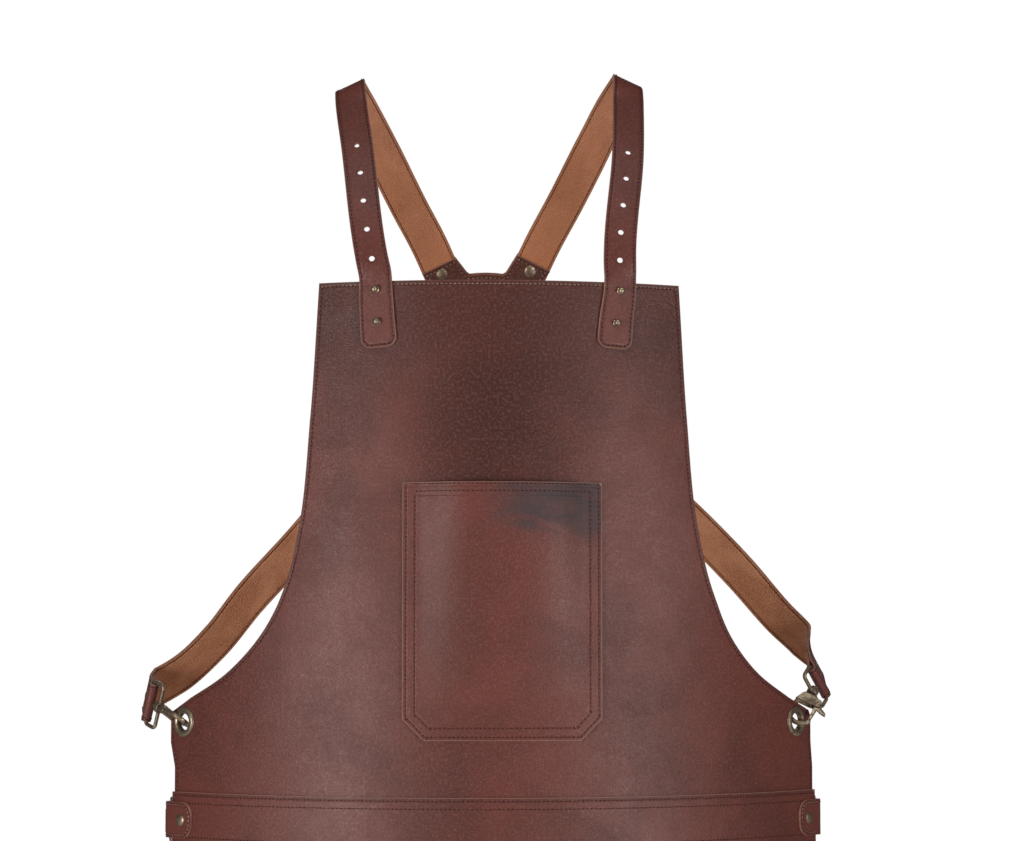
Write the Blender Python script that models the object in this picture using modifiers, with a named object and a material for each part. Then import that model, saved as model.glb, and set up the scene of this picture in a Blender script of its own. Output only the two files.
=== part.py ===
"""Cross-back leather work apron with snap hooks, eyelets, studs, rivets and waist rings.

Metres, +Z up, front facing -Y. The origin lies midway between the two shoulder rests.
"""

import math

import bmesh
import bpy
from mathutils import Matrix, Vector

# The apron's front hugs an upright cylinder.
WRAP_R = 0.365
FRONT_Y = -0.105
AXIS_Y = FRONT_Y + WRAP_R
LEATHER = 0.002
THIN_LEATHER = 0.0018
GAP = 0.0003
STRIP = 0.02  # the widest flat strip of a wrapped sheet

# Front panels: s runs along the wrap, z is the height.
BIB_TOP = -0.184
SEAM_Z = -0.640
HEM_Z = -1.047
CHEST_SHIFT = 0.0045
WAIST_SHIFT = 0.008
EAR_SHIFT = 0.0037
WAIST_HALF = 0.317
EAR_HALF = 0.3184
# Half widths of the bib from its top corner down the armhole to the ear over the eyelet.
ARMHOLE = [(0.158, BIB_TOP), (0.166, -0.300), (0.1755, -0.388), (0.190, -0.441),
           (0.211, -0.480), (0.244, -0.512), (0.288, -0.535)]
BAND_TOP, BAND_LOW = -0.616, -0.664
FACING_TOP, FACING_LOW = -0.620, -0.660
HEM_CORNER = 0.060

POCKET_S = 0.0055
POCKET_HALF = 0.0838
POCKET_TOP, POCKET_LOW = -0.354, -0.569
POCKET_CHAMFER = 0.018
POCKET_GAPE = 0.010

# Shoulder straps and the yoke that crosses them at the back.
FRONT_WIDTH = 0.0305
NECK_WIDTH = 0.0275
BACK_WIDTH = 0.034
RIDGE_SLOPE = math.radians(25)
RIDGE_HALF = 0.006  # half of the flat rest on each shoulder
SHOULDER_BEND = 1.9  # how late the front straps lean back to the ridge
STUD_Z = (-0.1913, -0.2187)
SPARE_HOLES = 5
BACK_Y = 0.181
BACK_CURVE = 1.975
BACK_FLAT_Z = -0.25
YOKE_LAYER = LEATHER + GAP
# Top edge between the upper arms.
YOKE_NOTCH = [(-0.0163, -0.1455), (-0.0137, -0.1472), (-0.0070, -0.1465), (0.0018, -0.1462),
              (0.0106, -0.1465), (0.0171, -0.1472), (0.0200, -0.1455)]
YOKE_ARM_HALF = 0.0168
YOKE_ARM_END = 0.0078
STRAP_IN_YOKE = 0.014

# Snap hooks. u runs from the eyelet along the hook's axis.
EYELET_S = {"left": -0.2969, "right": 0.2992}
EYELET_Z = -0.556
EYELET_R, EYELET_HOLE_R = 0.0131, 0.0074
BARREL_R, EYELET_CUT_R = 0.0083, 0.0088
HOOK_LIFT = {"left": math.radians(19), "right": math.radians(43)}
HOOK_TURN = {"left": math.radians(150), "right": math.radians(35)}
STRAP_TURN = math.radians(35)
EYE_WIRE = 0.00175
EYE_NEAR, EYE_FAR = 0.0365, 0.0500
EYE_HALF = 0.0195
FOLD_R = 0.0035
PIN_AT = (0.0255, 0.0100)
HOOK_WIRE = 0.0022
BOSS_U, BOSS_R, BOSS_LENGTH, BOSS_BORE = 0.0367, 0.0050, 0.0058, 0.0027
NECK_U, NECK_R, NECK_LENGTH = 0.0355, 0.0022, 0.0100
HEAD_U, HEAD_R, HEAD_LENGTH = 0.0408, 0.0034, 0.0016
# The hook's bend, its flat body with the slot for the trigger, and the trigger, seen along the pin.
HOOK_BEND = [(0.0270, -0.0050), (0.0205, -0.0078), (0.0130, -0.0086), (0.0060, -0.0079),
             (0.0012, -0.0050), (-0.0007, -0.0002), (0.0008, 0.0054), (0.0032, 0.0088),
             (0.0056, 0.0100)]
HOOK_BODY = [(0.0213, -0.0101), (0.0320, -0.0050), (0.0320, 0.0050), (0.0296, 0.0126),
             (0.0222, 0.0126), (0.0213, 0.0060), (0.0213, -0.0050)]
HOOK_SLOT = [(0.0195, 0.0056), (0.0302, 0.0056), (0.0302, 0.0150), (0.0195, 0.0150)]
LEVER = [(0.0076, 0.0088), (0.0245, 0.0076), (0.0267, 0.0079), (0.0279, 0.0100), (0.0267, 0.0122),
         (0.0232, 0.0150), (0.0196, 0.0205), (0.0176, 0.0204), (0.0188, 0.0150),
         (0.0203, 0.0116), (0.0076, 0.0112)]
BODY_THICK, SLOT_WIDE, LEVER_THICK = 0.0070, 0.0038, 0.0030
PIN_R, PIN_LENGTH, PIN_BORE = 0.0010, 0.0078, 0.00125

# Waist tabs, rings and the slack strap behind.
TAB_Z, TAB_HEIGHT, TAB_LEAF = -0.640, 0.031, 0.036
RING_WIRE = 0.0016
RING_HALF, RING_DEPTH, RING_CORNER = 0.020, 0.022, 0.010
RING_Z = -0.6426
RING_LEAN = {"left": 0.10, "right": 0.0}
WAIST_WIDTH = 0.020
WAIST_LOOP_R = 0.0049

SIDES = (("left", -1), ("right", 1))
UP = Vector((0, 0, 1))


def clear_scene():
    for old in list(bpy.data.objects):
        bpy.data.objects.remove(old, do_unlink=True)


clear_scene()
PARTS = bpy.data.collections.new("work_apron")
CUTTERS = bpy.data.collections.new("cutters")
for group in (PARTS, CUTTERS):
    bpy.context.scene.collection.children.link(group)


def finish(name, color, roughness, metallic=0.0):
    material = bpy.data.materials.new(name)
    material.use_nodes = True
    shader = material.node_tree.nodes["Principled BSDF"]
    shader.inputs["Base Color"].default_value = (*color, 1)
    shader.inputs["Roughness"].default_value = roughness
    shader.inputs["Metallic"].default_value = metallic
    return material


HIDE = (0.105, 0.047, 0.037)
DARK_HIDE = (0.075, 0.034, 0.026)
SUEDE = (0.285, 0.120, 0.060)
BRASS = (0.42, 0.31, 0.17)


# ---------------------------------------------------------------- curves

def smooth_path(points, step=0.012):
    """A smooth curve through (point, normal) pairs, with a point at least every step."""
    places = [Vector(point) for point, _ in points]
    spans = [(q - p).length for p, q in zip(places, places[1:])]
    slopes = [(q - p) / span for p, q, span in zip(places, places[1:], spans)]
    tangents = [slopes[0]]
    for (before, after), (a, b) in zip(zip(slopes, slopes[1:]), zip(spans, spans[1:])):
        tangents.append((before * b + after * a) / (a + b))
    tangents.append(slopes[-1])
    path = []
    for k, span in enumerate(spans):
        count = max(1, math.ceil(span / step))
        (p, m), (q, n) = points[k], points[k + 1]
        p, q = places[k], places[k + 1]
        for i in range(count):
            t = i / count
            path.append((p * (2 * t ** 3 - 3 * t * t + 1) + tangents[k] * span * (t ** 3 - 2 * t * t + t)
                         + q * (3 * t * t - 2 * t ** 3) + tangents[k + 1] * span * (t ** 3 - t * t),
                         m.lerp(n, t).normalized()))
    path.append(tuple(points[-1]))
    return path


def smooth_outline(points, step):
    return [tuple(p) for p, _ in smooth_path([(Vector(p), UP) for p in points], step)]


def eased(share):
    """A smooth step from 0 to 1."""
    share = min(max(share, 0), 1)
    return share * share * (3 - 2 * share)


def bezier(a, control, b, steps):
    a, control, b = Vector(a), Vector(control), Vector(b)
    return [a * (1 - t) ** 2 + control * 2 * t * (1 - t) + b * t * t
            for t in (k / steps for k in range(1, steps))]


def lengths(path):
    total = [0.0]
    for (p, _), (q, _) in zip(path, path[1:]):
        total.append(total[-1] + (q - p).length)
    return total


def along(path, distance):
    """Point and normal at a distance along the path."""
    total = lengths(path)
    for k in range(len(path) - 1):
        if total[k + 1] >= distance or k == len(path) - 2:
            t = (distance - total[k]) / (total[k + 1] - total[k])
            (p, m), (q, n) = path[k], path[k + 1]
            return p.lerp(q, t), m.lerp(n, t).normalized()


def at_height(path, z):
    for (p, m), (q, n) in zip(path, path[1:]):
        if (p.z - z) * (q.z - z) <= 0 and p.z != q.z:
            t = (z - p.z) / (q.z - p.z)
            return p.lerp(q, t), m.lerp(n, t).normalized()


# ---------------------------------------------------------------- solids

def add(name, mesh, material, group=PARTS, smooth=True):
    obj = bpy.data.objects.new(name, mesh)
    group.objects.link(obj)
    mesh.materials.append(material)
    if group is CUTTERS:
        obj.hide_render = True
        obj.display_type = "WIRE"
    elif smooth:
        mesh.shade_smooth()
        mesh.set_sharp_from_angle(angle=math.radians(35))
    return obj


def wall(obj, thickness):
    solid = obj.modifiers.new("wall", "SOLIDIFY")
    solid.thickness = thickness
    solid.offset = 0
    solid.use_even_offset = True


def boolean(obj, other, operation="DIFFERENCE"):
    cut = obj.modifiers.new(operation.lower(), "BOOLEAN")
    cut.operation = operation
    cut.object = other
    cut.solver = "EXACT"


def aligned(centre, axis):
    """A matrix whose Z runs along axis."""
    z = Vector(axis).normalized()
    guide = UP if abs(z.z) < 0.9 else Vector((1, 0, 0))
    x = (guide - z * guide.dot(z)).normalized()
    turn = Matrix((x, z.cross(x), z)).transposed()
    return Matrix.Translation(centre) @ turn.to_4x4()


def cylinder(name, radius, length, matrix, segments=12, group=CUTTERS, material=None):
    mesh = bpy.data.meshes.new(name)
    bm = bmesh.new()
    bmesh.ops.create_cone(bm, cap_ends=True, segments=segments, radius1=radius,
                          radius2=radius, depth=length)
    bm.to_mesh(mesh)
    bm.free()
    obj = add(name, mesh, material or METAL, group)
    obj.matrix_world = matrix
    return obj


def turned(name, profile, matrix, material, closed=False, steps=12):
    """A profile of (radius, height) points, top to bottom on its outer side, turned round Z."""
    mesh = bpy.data.meshes.new(name)
    edges = [(k, k + 1) for k in range(len(profile) - 1)]
    if closed:
        edges.append((len(profile) - 1, 0))
    mesh.from_pydata([(r, 0, z) for r, z in profile], edges, [])
    obj = add(name, mesh, material)
    obj.matrix_world = matrix
    screw = obj.modifiers.new("turn", "SCREW")
    screw.axis = "Z"
    screw.steps = screw.render_steps = steps
    screw.use_merge_vertices = True
    screw.merge_threshold = 0.00001
    return obj


def plate(name, outline, thickness, matrix, material, group=PARTS):
    """A flat outline in XY with a thickness along Z."""
    mesh = bpy.data.meshes.new(name)
    bm = bmesh.new()
    bm.faces.new([bm.verts.new((x, y, 0)) for x, y in outline])
    bm.to_mesh(mesh)
    bm.free()
    obj = add(name, mesh, material, group, smooth=False)
    obj.matrix_world = matrix
    wall(obj, thickness)
    return obj


def wire(name, points, radius, matrix, material, cyclic=False):
    """A round wire through the points, as a mesh."""
    curve = bpy.data.curves.new(name, "CURVE")
    curve.dimensions = "3D"
    curve.bevel_depth = radius
    curve.bevel_resolution = 2
    curve.use_fill_caps = not cyclic
    spline = curve.splines.new("POLY")
    spline.points.add(len(points) - 1)
    for dot, place in zip(spline.points, points):
        dot.co = (*place, 1)
    spline.use_cyclic_u = cyclic
    guide = bpy.data.objects.new(name + "_guide", curve)
    CUTTERS.objects.link(guide)
    graph = bpy.context.evaluated_depsgraph_get()
    mesh = bpy.data.meshes.new_from_object(guide.evaluated_get(graph))
    bpy.data.objects.remove(guide, do_unlink=True)
    bm = bmesh.new()
    bm.from_mesh(mesh)
    bmesh.ops.remove_doubles(bm, verts=bm.verts, dist=0.00001)
    bm.to_mesh(mesh)
    bm.free()
    mesh.materials.clear()
    obj = add(name, mesh, material)
    obj.matrix_world = matrix
    return obj


def join(obj, *others):
    """Unites the others with obj into one body."""
    for other in others:
        if other.name in PARTS.objects:
            PARTS.objects.unlink(other)
            CUTTERS.objects.link(other)
        other.hide_render = True
        other.display_type = "WIRE"
        boolean(obj, other, "UNION")


def bend_sheet(name, outline, place, material, rows=None, strip=STRIP):
    """A flat outline cut into strips, bent by place(s, z), with a wall on both sides of it."""
    mesh = bpy.data.meshes.new(name)
    bm = bmesh.new()
    bm.faces.new([bm.verts.new((s, z, 0)) for s, z in outline])
    low, high = min(s for s, _ in outline), max(s for s, _ in outline)
    cuts = [((k * strip, 0, 0), (1, 0, 0))
            for k in range(math.ceil(low / strip), math.floor(high / strip) + 1)]
    if rows:
        bottom, top = min(z for _, z in outline), max(z for _, z in outline)
        count = math.ceil((top - bottom) / rows)
        cuts += [((0, bottom + (top - bottom) * k / count, 0), (0, 1, 0)) for k in range(1, count)]
    for point, across in cuts:
        parts = bm.verts[:] + bm.edges[:] + bm.faces[:]
        bmesh.ops.bisect_plane(bm, geom=parts, plane_co=point, plane_no=across, dist=0.0004)
    for vert in bm.verts:
        vert.co = place(vert.co.x, vert.co.y)
    bm.to_mesh(mesh)
    bm.free()
    obj = add(name, mesh, material)
    wall(obj, LEATHER)
    return obj


def strap(name, path, width, material, thickness=LEATHER, corner=(0.0, 0.0), rounding=4):
    """A strip of leather along a path. width(f) is the full width at a fraction of the length."""
    total = lengths(path)
    whole = total[-1]
    marks = set(total)
    for k in range(1, rounding + 1):
        share = 1 - math.cos(math.pi / 2 * k / rounding)
        marks |= {corner[0] * share, whole - corner[1] * share}
    kept = []
    for mark in sorted(marks):
        if not kept or mark - kept[-1] > 0.0004:
            kept.append(mark)
    kept[-1] = whole
    mesh = bpy.data.meshes.new(name)
    bm = bmesh.new()
    rows = []
    for mark in kept:
        point, normal = along(path, mark)
        ahead = along(path, min(mark + 0.0008, whole))[0] - along(path, max(mark - 0.0008, 0))[0]
        side = ahead.cross(normal).normalized()
        half = width(mark / whole) / 2
        for radius, inside in ((corner[0], mark), (corner[1], whole - mark)):
            if inside < radius:
                half -= radius - math.sqrt(max(radius ** 2 - (radius - inside) ** 2, 0))
        half = max(half, 0.0012)
        rows.append([bm.verts.new(point + side * half * k) for k in (-1, 1)])
    for (a, b), (c, d) in zip(rows, rows[1:]):
        bm.faces.new((a, b, d, c))
    bm.to_mesh(mesh)
    bm.free()
    obj = add(name, mesh, material)
    wall(obj, thickness)
    return obj


def hole(obj, centre, axis, radius, depth=0.02, segments=12):
    boolean(obj, cylinder(obj.name + "_hole", radius, depth, aligned(centre, axis), segments))


# ---------------------------------------------------------------- fasteners

RIVET_HOLE = 0.0023


def rivet(name, centre, axis, stack, radius=0.0055):
    """A double-cap rivet: a domed cap with a tube, and a post with a flat cap inside it."""
    top, low = stack / 2 + GAP, -stack / 2
    cap = [(0, top + 0.0015), (radius * 0.55, top + 0.0013), (radius * 0.86, top + 0.0008),
           (radius, top + 0.0003), (radius * 0.97, top), (0.0019, top), (0.0019, low + 0.0006),
           (0.00145, low + 0.0006), (0.00145, top + 0.0002), (0, top + 0.0002)]
    post = [(0, top - 0.0003), (0.00115, top - 0.0003), (0.00115, low - GAP),
            (radius * 0.86, low - GAP), (radius * 0.86, low - GAP - 0.0008), (0, low - GAP - 0.0009)]
    turned(name + "_cap", cap, aligned(centre, axis), METAL)
    turned(name + "_post", post, aligned(centre, axis), METAL)


def stud(name, centre, axis):
    """A ball stud through the strap and the bib, held by a screw from behind."""
    ball_r, ball_at, neck = 0.0030, 0.0056, 0.0016
    ball = [(ball_r * math.sin(a), ball_at + ball_r * math.cos(a))
            for a in (math.pi * 0.82 * k / 6 for k in range(7))]
    body = ball + [(neck, -0.0018), (0.00115, -0.0018), (0.00115, 0.0015), (0, 0.0015)]
    screw = [(0, 0.0006), (0.0008, 0.0006), (0.0008, -0.0024), (0.0042, -0.0024),
             (0.0042, -0.0033), (0, -0.0034)]
    turned(name, body, aligned(centre, axis), METAL)
    turned(name + "_screw", screw, aligned(centre, axis), METAL)


# ---------------------------------------------------------------- front panels

def wrapped(s, z, lift=0.0):
    """The point at s along the wrap and at height z, lifted outwards from the bib's front."""
    angle = s / WRAP_R
    reach = WRAP_R + lift
    return Vector((reach * math.sin(angle), AXIS_Y - reach * math.cos(angle), z))


def outward(s):
    return Vector((math.sin(s / WRAP_R), -math.cos(s / WRAP_R), 0))


def edge_tangent(s):
    return Vector((math.cos(s / WRAP_R), math.sin(s / WRAP_R), 0))


def bib_outline():
    def edge(side):
        arm = smooth_outline(ARMHOLE + [(EAR_HALF - 0.003, -0.5468)], 0.012)
        points = []
        for half, z in arm:
            shift = (CHEST_SHIFT * min(max((z + 0.535) / 0.08, 0), 1)
                     + EAR_SHIFT * min(max((-0.535 - z) / 0.0118, 0), 1))
            points.append((side * half + shift, z))
        ear = side * EAR_HALF + EAR_SHIFT
        points += [(ear, -0.5515), (ear, -0.574),
                   (side * (WAIST_HALF - 0.0003) + WAIST_SHIFT, -0.595),
                   (side * (WAIST_HALF - 0.0003) + WAIST_SHIFT, SEAM_Z + 0.0005)]
        return points
    return edge(-1) + edge(1)[::-1]


def make_front():
    bib = bend_sheet("bib_panel", bib_outline(), lambda s, z: wrapped(s, z, -LEATHER / 2),
                     finish("bib_hide", HIDE, 0.42))
    half, shift = WAIST_HALF - 0.0003, WAIST_SHIFT
    corner = [(-half + shift + HEM_CORNER * (1 - math.cos(a)),
               HEM_Z + HEM_CORNER * (1 - math.sin(a)))
              for a in (math.pi / 2 * k / 6 for k in range(7))]
    skirt = [(-half + shift, SEAM_Z - 0.0005)] + corner
    skirt += [(2 * shift - s, z) for s, z in reversed(skirt)]
    skirt = bend_sheet("skirt_panel", skirt, lambda s, z: wrapped(s, z, -LEATHER / 2),
               finish("skirt_hide", HIDE, 0.42))
    band = [(-WAIST_HALF + shift, BAND_TOP), (-WAIST_HALF + shift, BAND_LOW),
            (WAIST_HALF + shift, BAND_LOW), (WAIST_HALF + shift, BAND_TOP)]
    band = bend_sheet("waistband", band, lambda s, z: wrapped(s, z, GAP + LEATHER / 2),
                      finish("band_hide", HIDE, 0.42))
    facing = [(-half + shift, FACING_TOP), (-half + shift, FACING_LOW),
              (half + shift, FACING_LOW), (half + shift, FACING_TOP)]
    facing = bend_sheet("waistband_facing", facing,
                        lambda s, z: wrapped(s, z, -1.5 * LEATHER - GAP),
                        finish("facing_hide", SUEDE, 0.85))

    low, high = POCKET_S - POCKET_HALF, POCKET_S + POCKET_HALF
    cut = POCKET_CHAMFER
    outline = [(low, POCKET_TOP), (low, POCKET_LOW + cut), (low + cut, POCKET_LOW),
               (high - cut, POCKET_LOW), (high, POCKET_LOW + cut), (high, POCKET_TOP)]

    def pocket_place(s, z):
        across = min(abs(s - POCKET_S) / (POCKET_HALF - 0.012), 1)
        height = min(max((z - POCKET_LOW - 0.03) / (POCKET_TOP - POCKET_LOW - 0.03), 0), 1)
        gape = POCKET_GAPE * (1 - across ** 4) ** 2 * height ** 0.6
        return wrapped(s, z, GAP + LEATHER / 2 + gape)

    bend_sheet("chest_pocket", outline, pocket_place, finish("pocket_hide", HIDE, 0.42),
               rows=0.03, strip=0.01)
    return bib, skirt, band, facing


# ---------------------------------------------------------------- straps

def back_y(z):
    return BACK_Y - BACK_CURVE * max(z - BACK_FLAT_Z, 0) ** 2


def back_point(x, z, lift=0.0):
    normal = Vector((0, 1, 2 * BACK_CURVE * max(z - BACK_FLAT_Z, 0))).normalized()
    return Vector((x, back_y(z), z)) + normal * lift, normal


def back_run(rivet_at, away, start, stop, step=0.007):
    """Path points on the back, from start to stop along a direction through a rivet."""
    count = round(abs(stop - start) / step)
    reach = [start + (stop - start) * k / count for k in range(count + 1)]
    return [back_point(rivet_at[0] + away[0] * r, rivet_at[1] + away[1] * r) for r in reach]


UPPER_RIVET = {"left": (-0.0393, -0.1465), "right": (0.0422, -0.1434)}
LOWER_RIVET = {"left": (-0.0410, -0.2360), "right": (0.0410, -0.2360)}
UPPER_AWAY = {"left": (-0.434, 0.901), "right": (0.434, 0.901)}
LOWER_AWAY = {"left": (-0.625, -0.781), "right": (0.670, -0.742)}
# Ridge of each shoulder: x and z of the strap's middle.
RIDGE = {"left": (-0.1238, -0.0020), "right": (0.1190, 0.0040)}
# Strap centres: end on the bib, first and second stud, then three free points up the front.
STRAP_FRONT = {
    "left": ((-0.0976, -0.0992, -0.1007), ((-0.1045, -0.165), (-0.1174, -0.063), (-0.1228, -0.020))),
    "right": ((0.0996, 0.1012, 0.1046), ((0.1052, -0.165), (0.1150, -0.068), (0.1182, -0.016))),
}
STRAP_END_Z = -0.2402
# Strap centres from the ridge down the upper back.
STRAP_BACK = {
    "left": ((-0.1148, 0.031, -0.0148), (-0.0983, 0.075, -0.0417), (-0.0709, 0.125, -0.0889)),
    "right": ((0.1112, 0.031, -0.0078), (0.0978, 0.075, -0.0354), (0.0729, 0.125, -0.0844)),
}


def shoulder_path(name, side):
    ridge_x, ridge_z = RIDGE[name]
    ridge_up = Vector((side * math.sin(RIDGE_SLOPE), 0, math.cos(RIDGE_SLOPE)))
    (end_x, low_x, high_x), free = STRAP_FRONT[name]
    lift = GAP + LEATHER / 2
    front = []
    for x, z in ((end_x, STRAP_END_Z), (low_x, STUD_Z[1]), (high_x, STUD_Z[0]),
                 (high_x * 1.004, BIB_TOP + 0.004)):
        s = WRAP_R * math.asin(x / WRAP_R)
        front.append((wrapped(s, z, lift), outward(s)))
    leave = front[-1][0]
    rise, run = ridge_z - leave.z, -0.008 - leave.y
    for x, z in free:
        share = (z - leave.z) / rise
        slope = SHOULDER_BEND * run / rise * share ** (SHOULDER_BEND - 1)
        front.append((Vector((x, leave.y + run * share ** SHOULDER_BEND, z)),
                      Vector((side * 0.25 * share, -1, slope)).normalized()))
    front.append((Vector((ridge_x, -RIDGE_HALF - 0.006, ridge_z - 0.0035)),
                  ridge_up + Vector((0, -0.55, 0))))
    front.append((Vector((ridge_x, -RIDGE_HALF, ridge_z)), ridge_up))
    back = [(Vector((ridge_x, RIDGE_HALF, ridge_z)), ridge_up)]
    tilts = (Vector((side * 0.28, 0.40, 0.85)), Vector((side * 0.18, 0.62, 0.76)),
             Vector((side * 0.08, 0.82, 0.57)))
    back += [(Vector(p), tilt.normalized()) for p, tilt in zip(STRAP_BACK[name], tilts)]
    back += back_run(UPPER_RIVET[name], UPPER_AWAY[name], 0.022, -STRAP_IN_YOKE)
    return smooth_path(front, 0.010) + smooth_path(back, 0.010)


def yoke_outline():
    """An X with four arms whose edges curve in between them."""
    def corners(at, away):
        end = (at[0] + away[0] * YOKE_ARM_END, at[1] + away[1] * YOKE_ARM_END)
        across = (away[1] * YOKE_ARM_HALF, -away[0] * YOKE_ARM_HALF)
        return (end[0] - across[0], end[1] - across[1]), (end[0] + across[0], end[1] + across[1])

    ul_out, ul_in = corners(UPPER_RIVET["left"], UPPER_AWAY["left"])
    ur_in, ur_out = corners(UPPER_RIVET["right"], UPPER_AWAY["right"])
    lr_out, lr_in = corners(LOWER_RIVET["right"], LOWER_AWAY["right"])
    ll_in, ll_out = corners(LOWER_RIVET["left"], LOWER_AWAY["left"])
    outline = [ul_out, ul_in] + YOKE_NOTCH
    outline += [ur_in, ur_out] + bezier(ur_out, (0.022, -0.190), lr_out, 7)
    outline += [lr_out, lr_in] + bezier(lr_in, (0.001, -0.222), ll_in, 7)
    outline += [ll_in, ll_out] + bezier(ll_out, (-0.020, -0.190), ul_out, 7)
    return [tuple(p) for p in outline]


# Side strap centres between the yoke and the snap hook.
SIDE_ROUTE = {
    "left": ((-0.1036, 0.172, -0.315), (-0.166, 0.149, -0.394), (-0.2146, 0.124, -0.449),
             (-0.2450, 0.113, -0.488), (-0.2730, 0.1045, -0.5145), (-0.2925, 0.0935, -0.5265)),
    "right": ((0.1227, 0.169, -0.3148), (0.1884, 0.150, -0.3755), (0.2334, 0.132, -0.4240),
              (0.2668, 0.112, -0.4655), (0.2842, 0.094, -0.4850)),
}


def hook_frame(name, side):
    """Eyelet centre, the hook's axis, the panel's normal there, and the direction across both."""
    s = EYELET_S[name]
    centre = wrapped(s, EYELET_Z, -0.0009)
    lift = HOOK_LIFT[name]
    axis = edge_tangent(s) * side * math.cos(lift) + UP * math.sin(lift)
    normal = outward(s)
    return centre, axis, normal, axis.cross(normal) * side


def fold_path(bar, travel, face, flap, main, radius, closing=0.016, spacing=0.0025):
    """A strap that arrives against travel on one side of a bar, folds round it and lies back.

    travel points away from the bar, face points to the flap's side.
    """
    def at(t, f, normal):
        return bar + travel * t + face * f, normal

    run = [at(main, -spacing / 2, -face), at(closing, -spacing / 2, -face)]
    for k in range(7):
        angle = math.radians(-75 + 25 * k)
        run.append(at(-radius * math.cos(angle), radius * math.sin(angle),
                      (face * math.sin(angle) - travel * math.cos(angle)).normalized()))
    run += [at(closing, spacing / 2, face), at(flap, spacing / 2, face)]
    return run


def shoulder_width(share):
    """Widest down the back, slimmest from the upper holes to the ridge."""
    front, back = eased(share / 0.16), eased((share - 0.5) / 0.25)
    return (FRONT_WIDTH + (NECK_WIDTH - FRONT_WIDTH) * front
            + (BACK_WIDTH - NECK_WIDTH) * back)


def make_straps():
    hide = finish("strap_hide", HIDE, 0.4)
    suede = finish("strap_suede", SUEDE, 0.9)
    for name, side in SIDES:
        path = shoulder_path(name, side)
        band = strap("shoulder_strap_" + name, path, shoulder_width, hide, corner=(0.008, 0.003))
        for k, z in enumerate(STUD_Z):
            centre, normal = at_height(path, z)
            hole(band, centre, normal, 0.0021)
            s = WRAP_R * math.asin(centre.x / WRAP_R)
            hole(BIB, wrapped(s, z), outward(s), 0.0021)
            stud("strap_stud_%s_%s" % (("upper", "lower")[k], name), wrapped(s, z), outward(s))
        low, high = STRAP_FRONT[name][1][0][1], STRAP_FRONT[name][1][1][1]
        for k in range(SPARE_HOLES):
            centre, normal = at_height(path, low + (high - low) * k / (SPARE_HOLES - 1))
            hole(band, centre, normal, 0.0020, segments=8)

    for label, lift in (("outer", YOKE_LAYER), ("inner", -YOKE_LAYER)):
        sheet = bend_sheet("yoke_" + label, yoke_outline(),
                           lambda x, z, lift=lift: back_point(x, z, lift)[0],
                           finish("yoke_hide_" + label, DARK_HIDE, 0.4), rows=0.0095, strip=0.05)
        YOKES.append(sheet)

    for name, side in SIDES:
        centre, axis, normal, _ = hook_frame(name, side)
        bar = centre + axis * EYE_FAR
        travel = axis * math.cos(STRAP_TURN) - normal * math.sin(STRAP_TURN)
        face = normal * math.cos(STRAP_TURN) + axis * math.sin(STRAP_TURN)
        # The strap folds inwards, flesh to flesh, so that the grain is outside all round.
        fold = fold_path(bar, travel, -face, 0.029, 0.031, FOLD_R, 0.012)
        start = back_run(LOWER_RIVET[name], LOWER_AWAY[name], -STRAP_IN_YOKE, 0.021)
        middle = []
        for x, y, z in SIDE_ROUTE[name]:
            middle.append((Vector((x, y, z)),
                           Vector((x / 0.30 ** 2, (y - 0.04) / 0.15 ** 2, 0)).normalized()))
        path = smooth_path(start + middle + fold[:1]) + fold[1:]
        band = strap("side_strap_" + name, path, lambda f: BACK_WIDTH, suede,
                     corner=(0.003, 0.004))
        joint = bar + travel * 0.020
        hole(band, joint, face, RIVET_HOLE)
        rivet("strap_rivet_" + name, joint, face, 0.0025 + LEATHER, 0.0045)
        for label, at in (("upper", UPPER_RIVET), ("lower", LOWER_RIVET)):
            centre, normal = back_point(*at[name])
            for sheet in YOKES:
                hole(sheet, centre, normal, RIVET_HOLE)
            strip = band if label == "lower" else bpy.data.objects["shoulder_strap_" + name]
            hole(strip, centre, normal, RIVET_HOLE)
            rivet("yoke_rivet_%s_%s" % (label, name), centre, -normal, 2 * YOKE_LAYER + LEATHER)


# ---------------------------------------------------------------- snap hooks

def make_eyelet(name):
    s = EYELET_S[name]
    frame = aligned(wrapped(s, EYELET_Z), outward(s))
    hole(BIB, wrapped(s, EYELET_Z), outward(s), EYELET_CUT_R, segments=24)
    front = [(EYELET_HOLE_R + 0.0016, GAP + 0.0012), (EYELET_R - 0.0012, GAP + 0.0009),
             (EYELET_R, GAP), (BARREL_R, GAP), (BARREL_R, -0.0032), (EYELET_HOLE_R + 0.0002, -0.0032),
             (EYELET_HOLE_R, GAP)]
    turned("eyelet_" + name, front, frame, METAL, closed=True, steps=24)
    back = [(EYELET_R - 0.0010, -0.0025), (EYELET_R - 0.0006, -0.0033),
            (BARREL_R + 0.0003, -0.0033), (BARREL_R + 0.0003, -0.0025)]
    turned("eyelet_washer_" + name, back, frame, METAL, closed=True, steps=24)


def rounded_loop(low, high, half, corner, steps=3):
    """Centres of a rounded rectangle from low to high along X, and half on each side along Y."""
    centres = ((high - corner, half - corner, 0), (low + corner, half - corner, 90),
               (low + corner, corner - half, 180), (high - corner, corner - half, 270))
    points = []
    for x, y, start in centres:
        for k in range(steps + 1):
            angle = math.radians(start + 90 * k / steps)
            points.append((x + corner * math.cos(angle), y + corner * math.sin(angle), 0))
    return points


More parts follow.
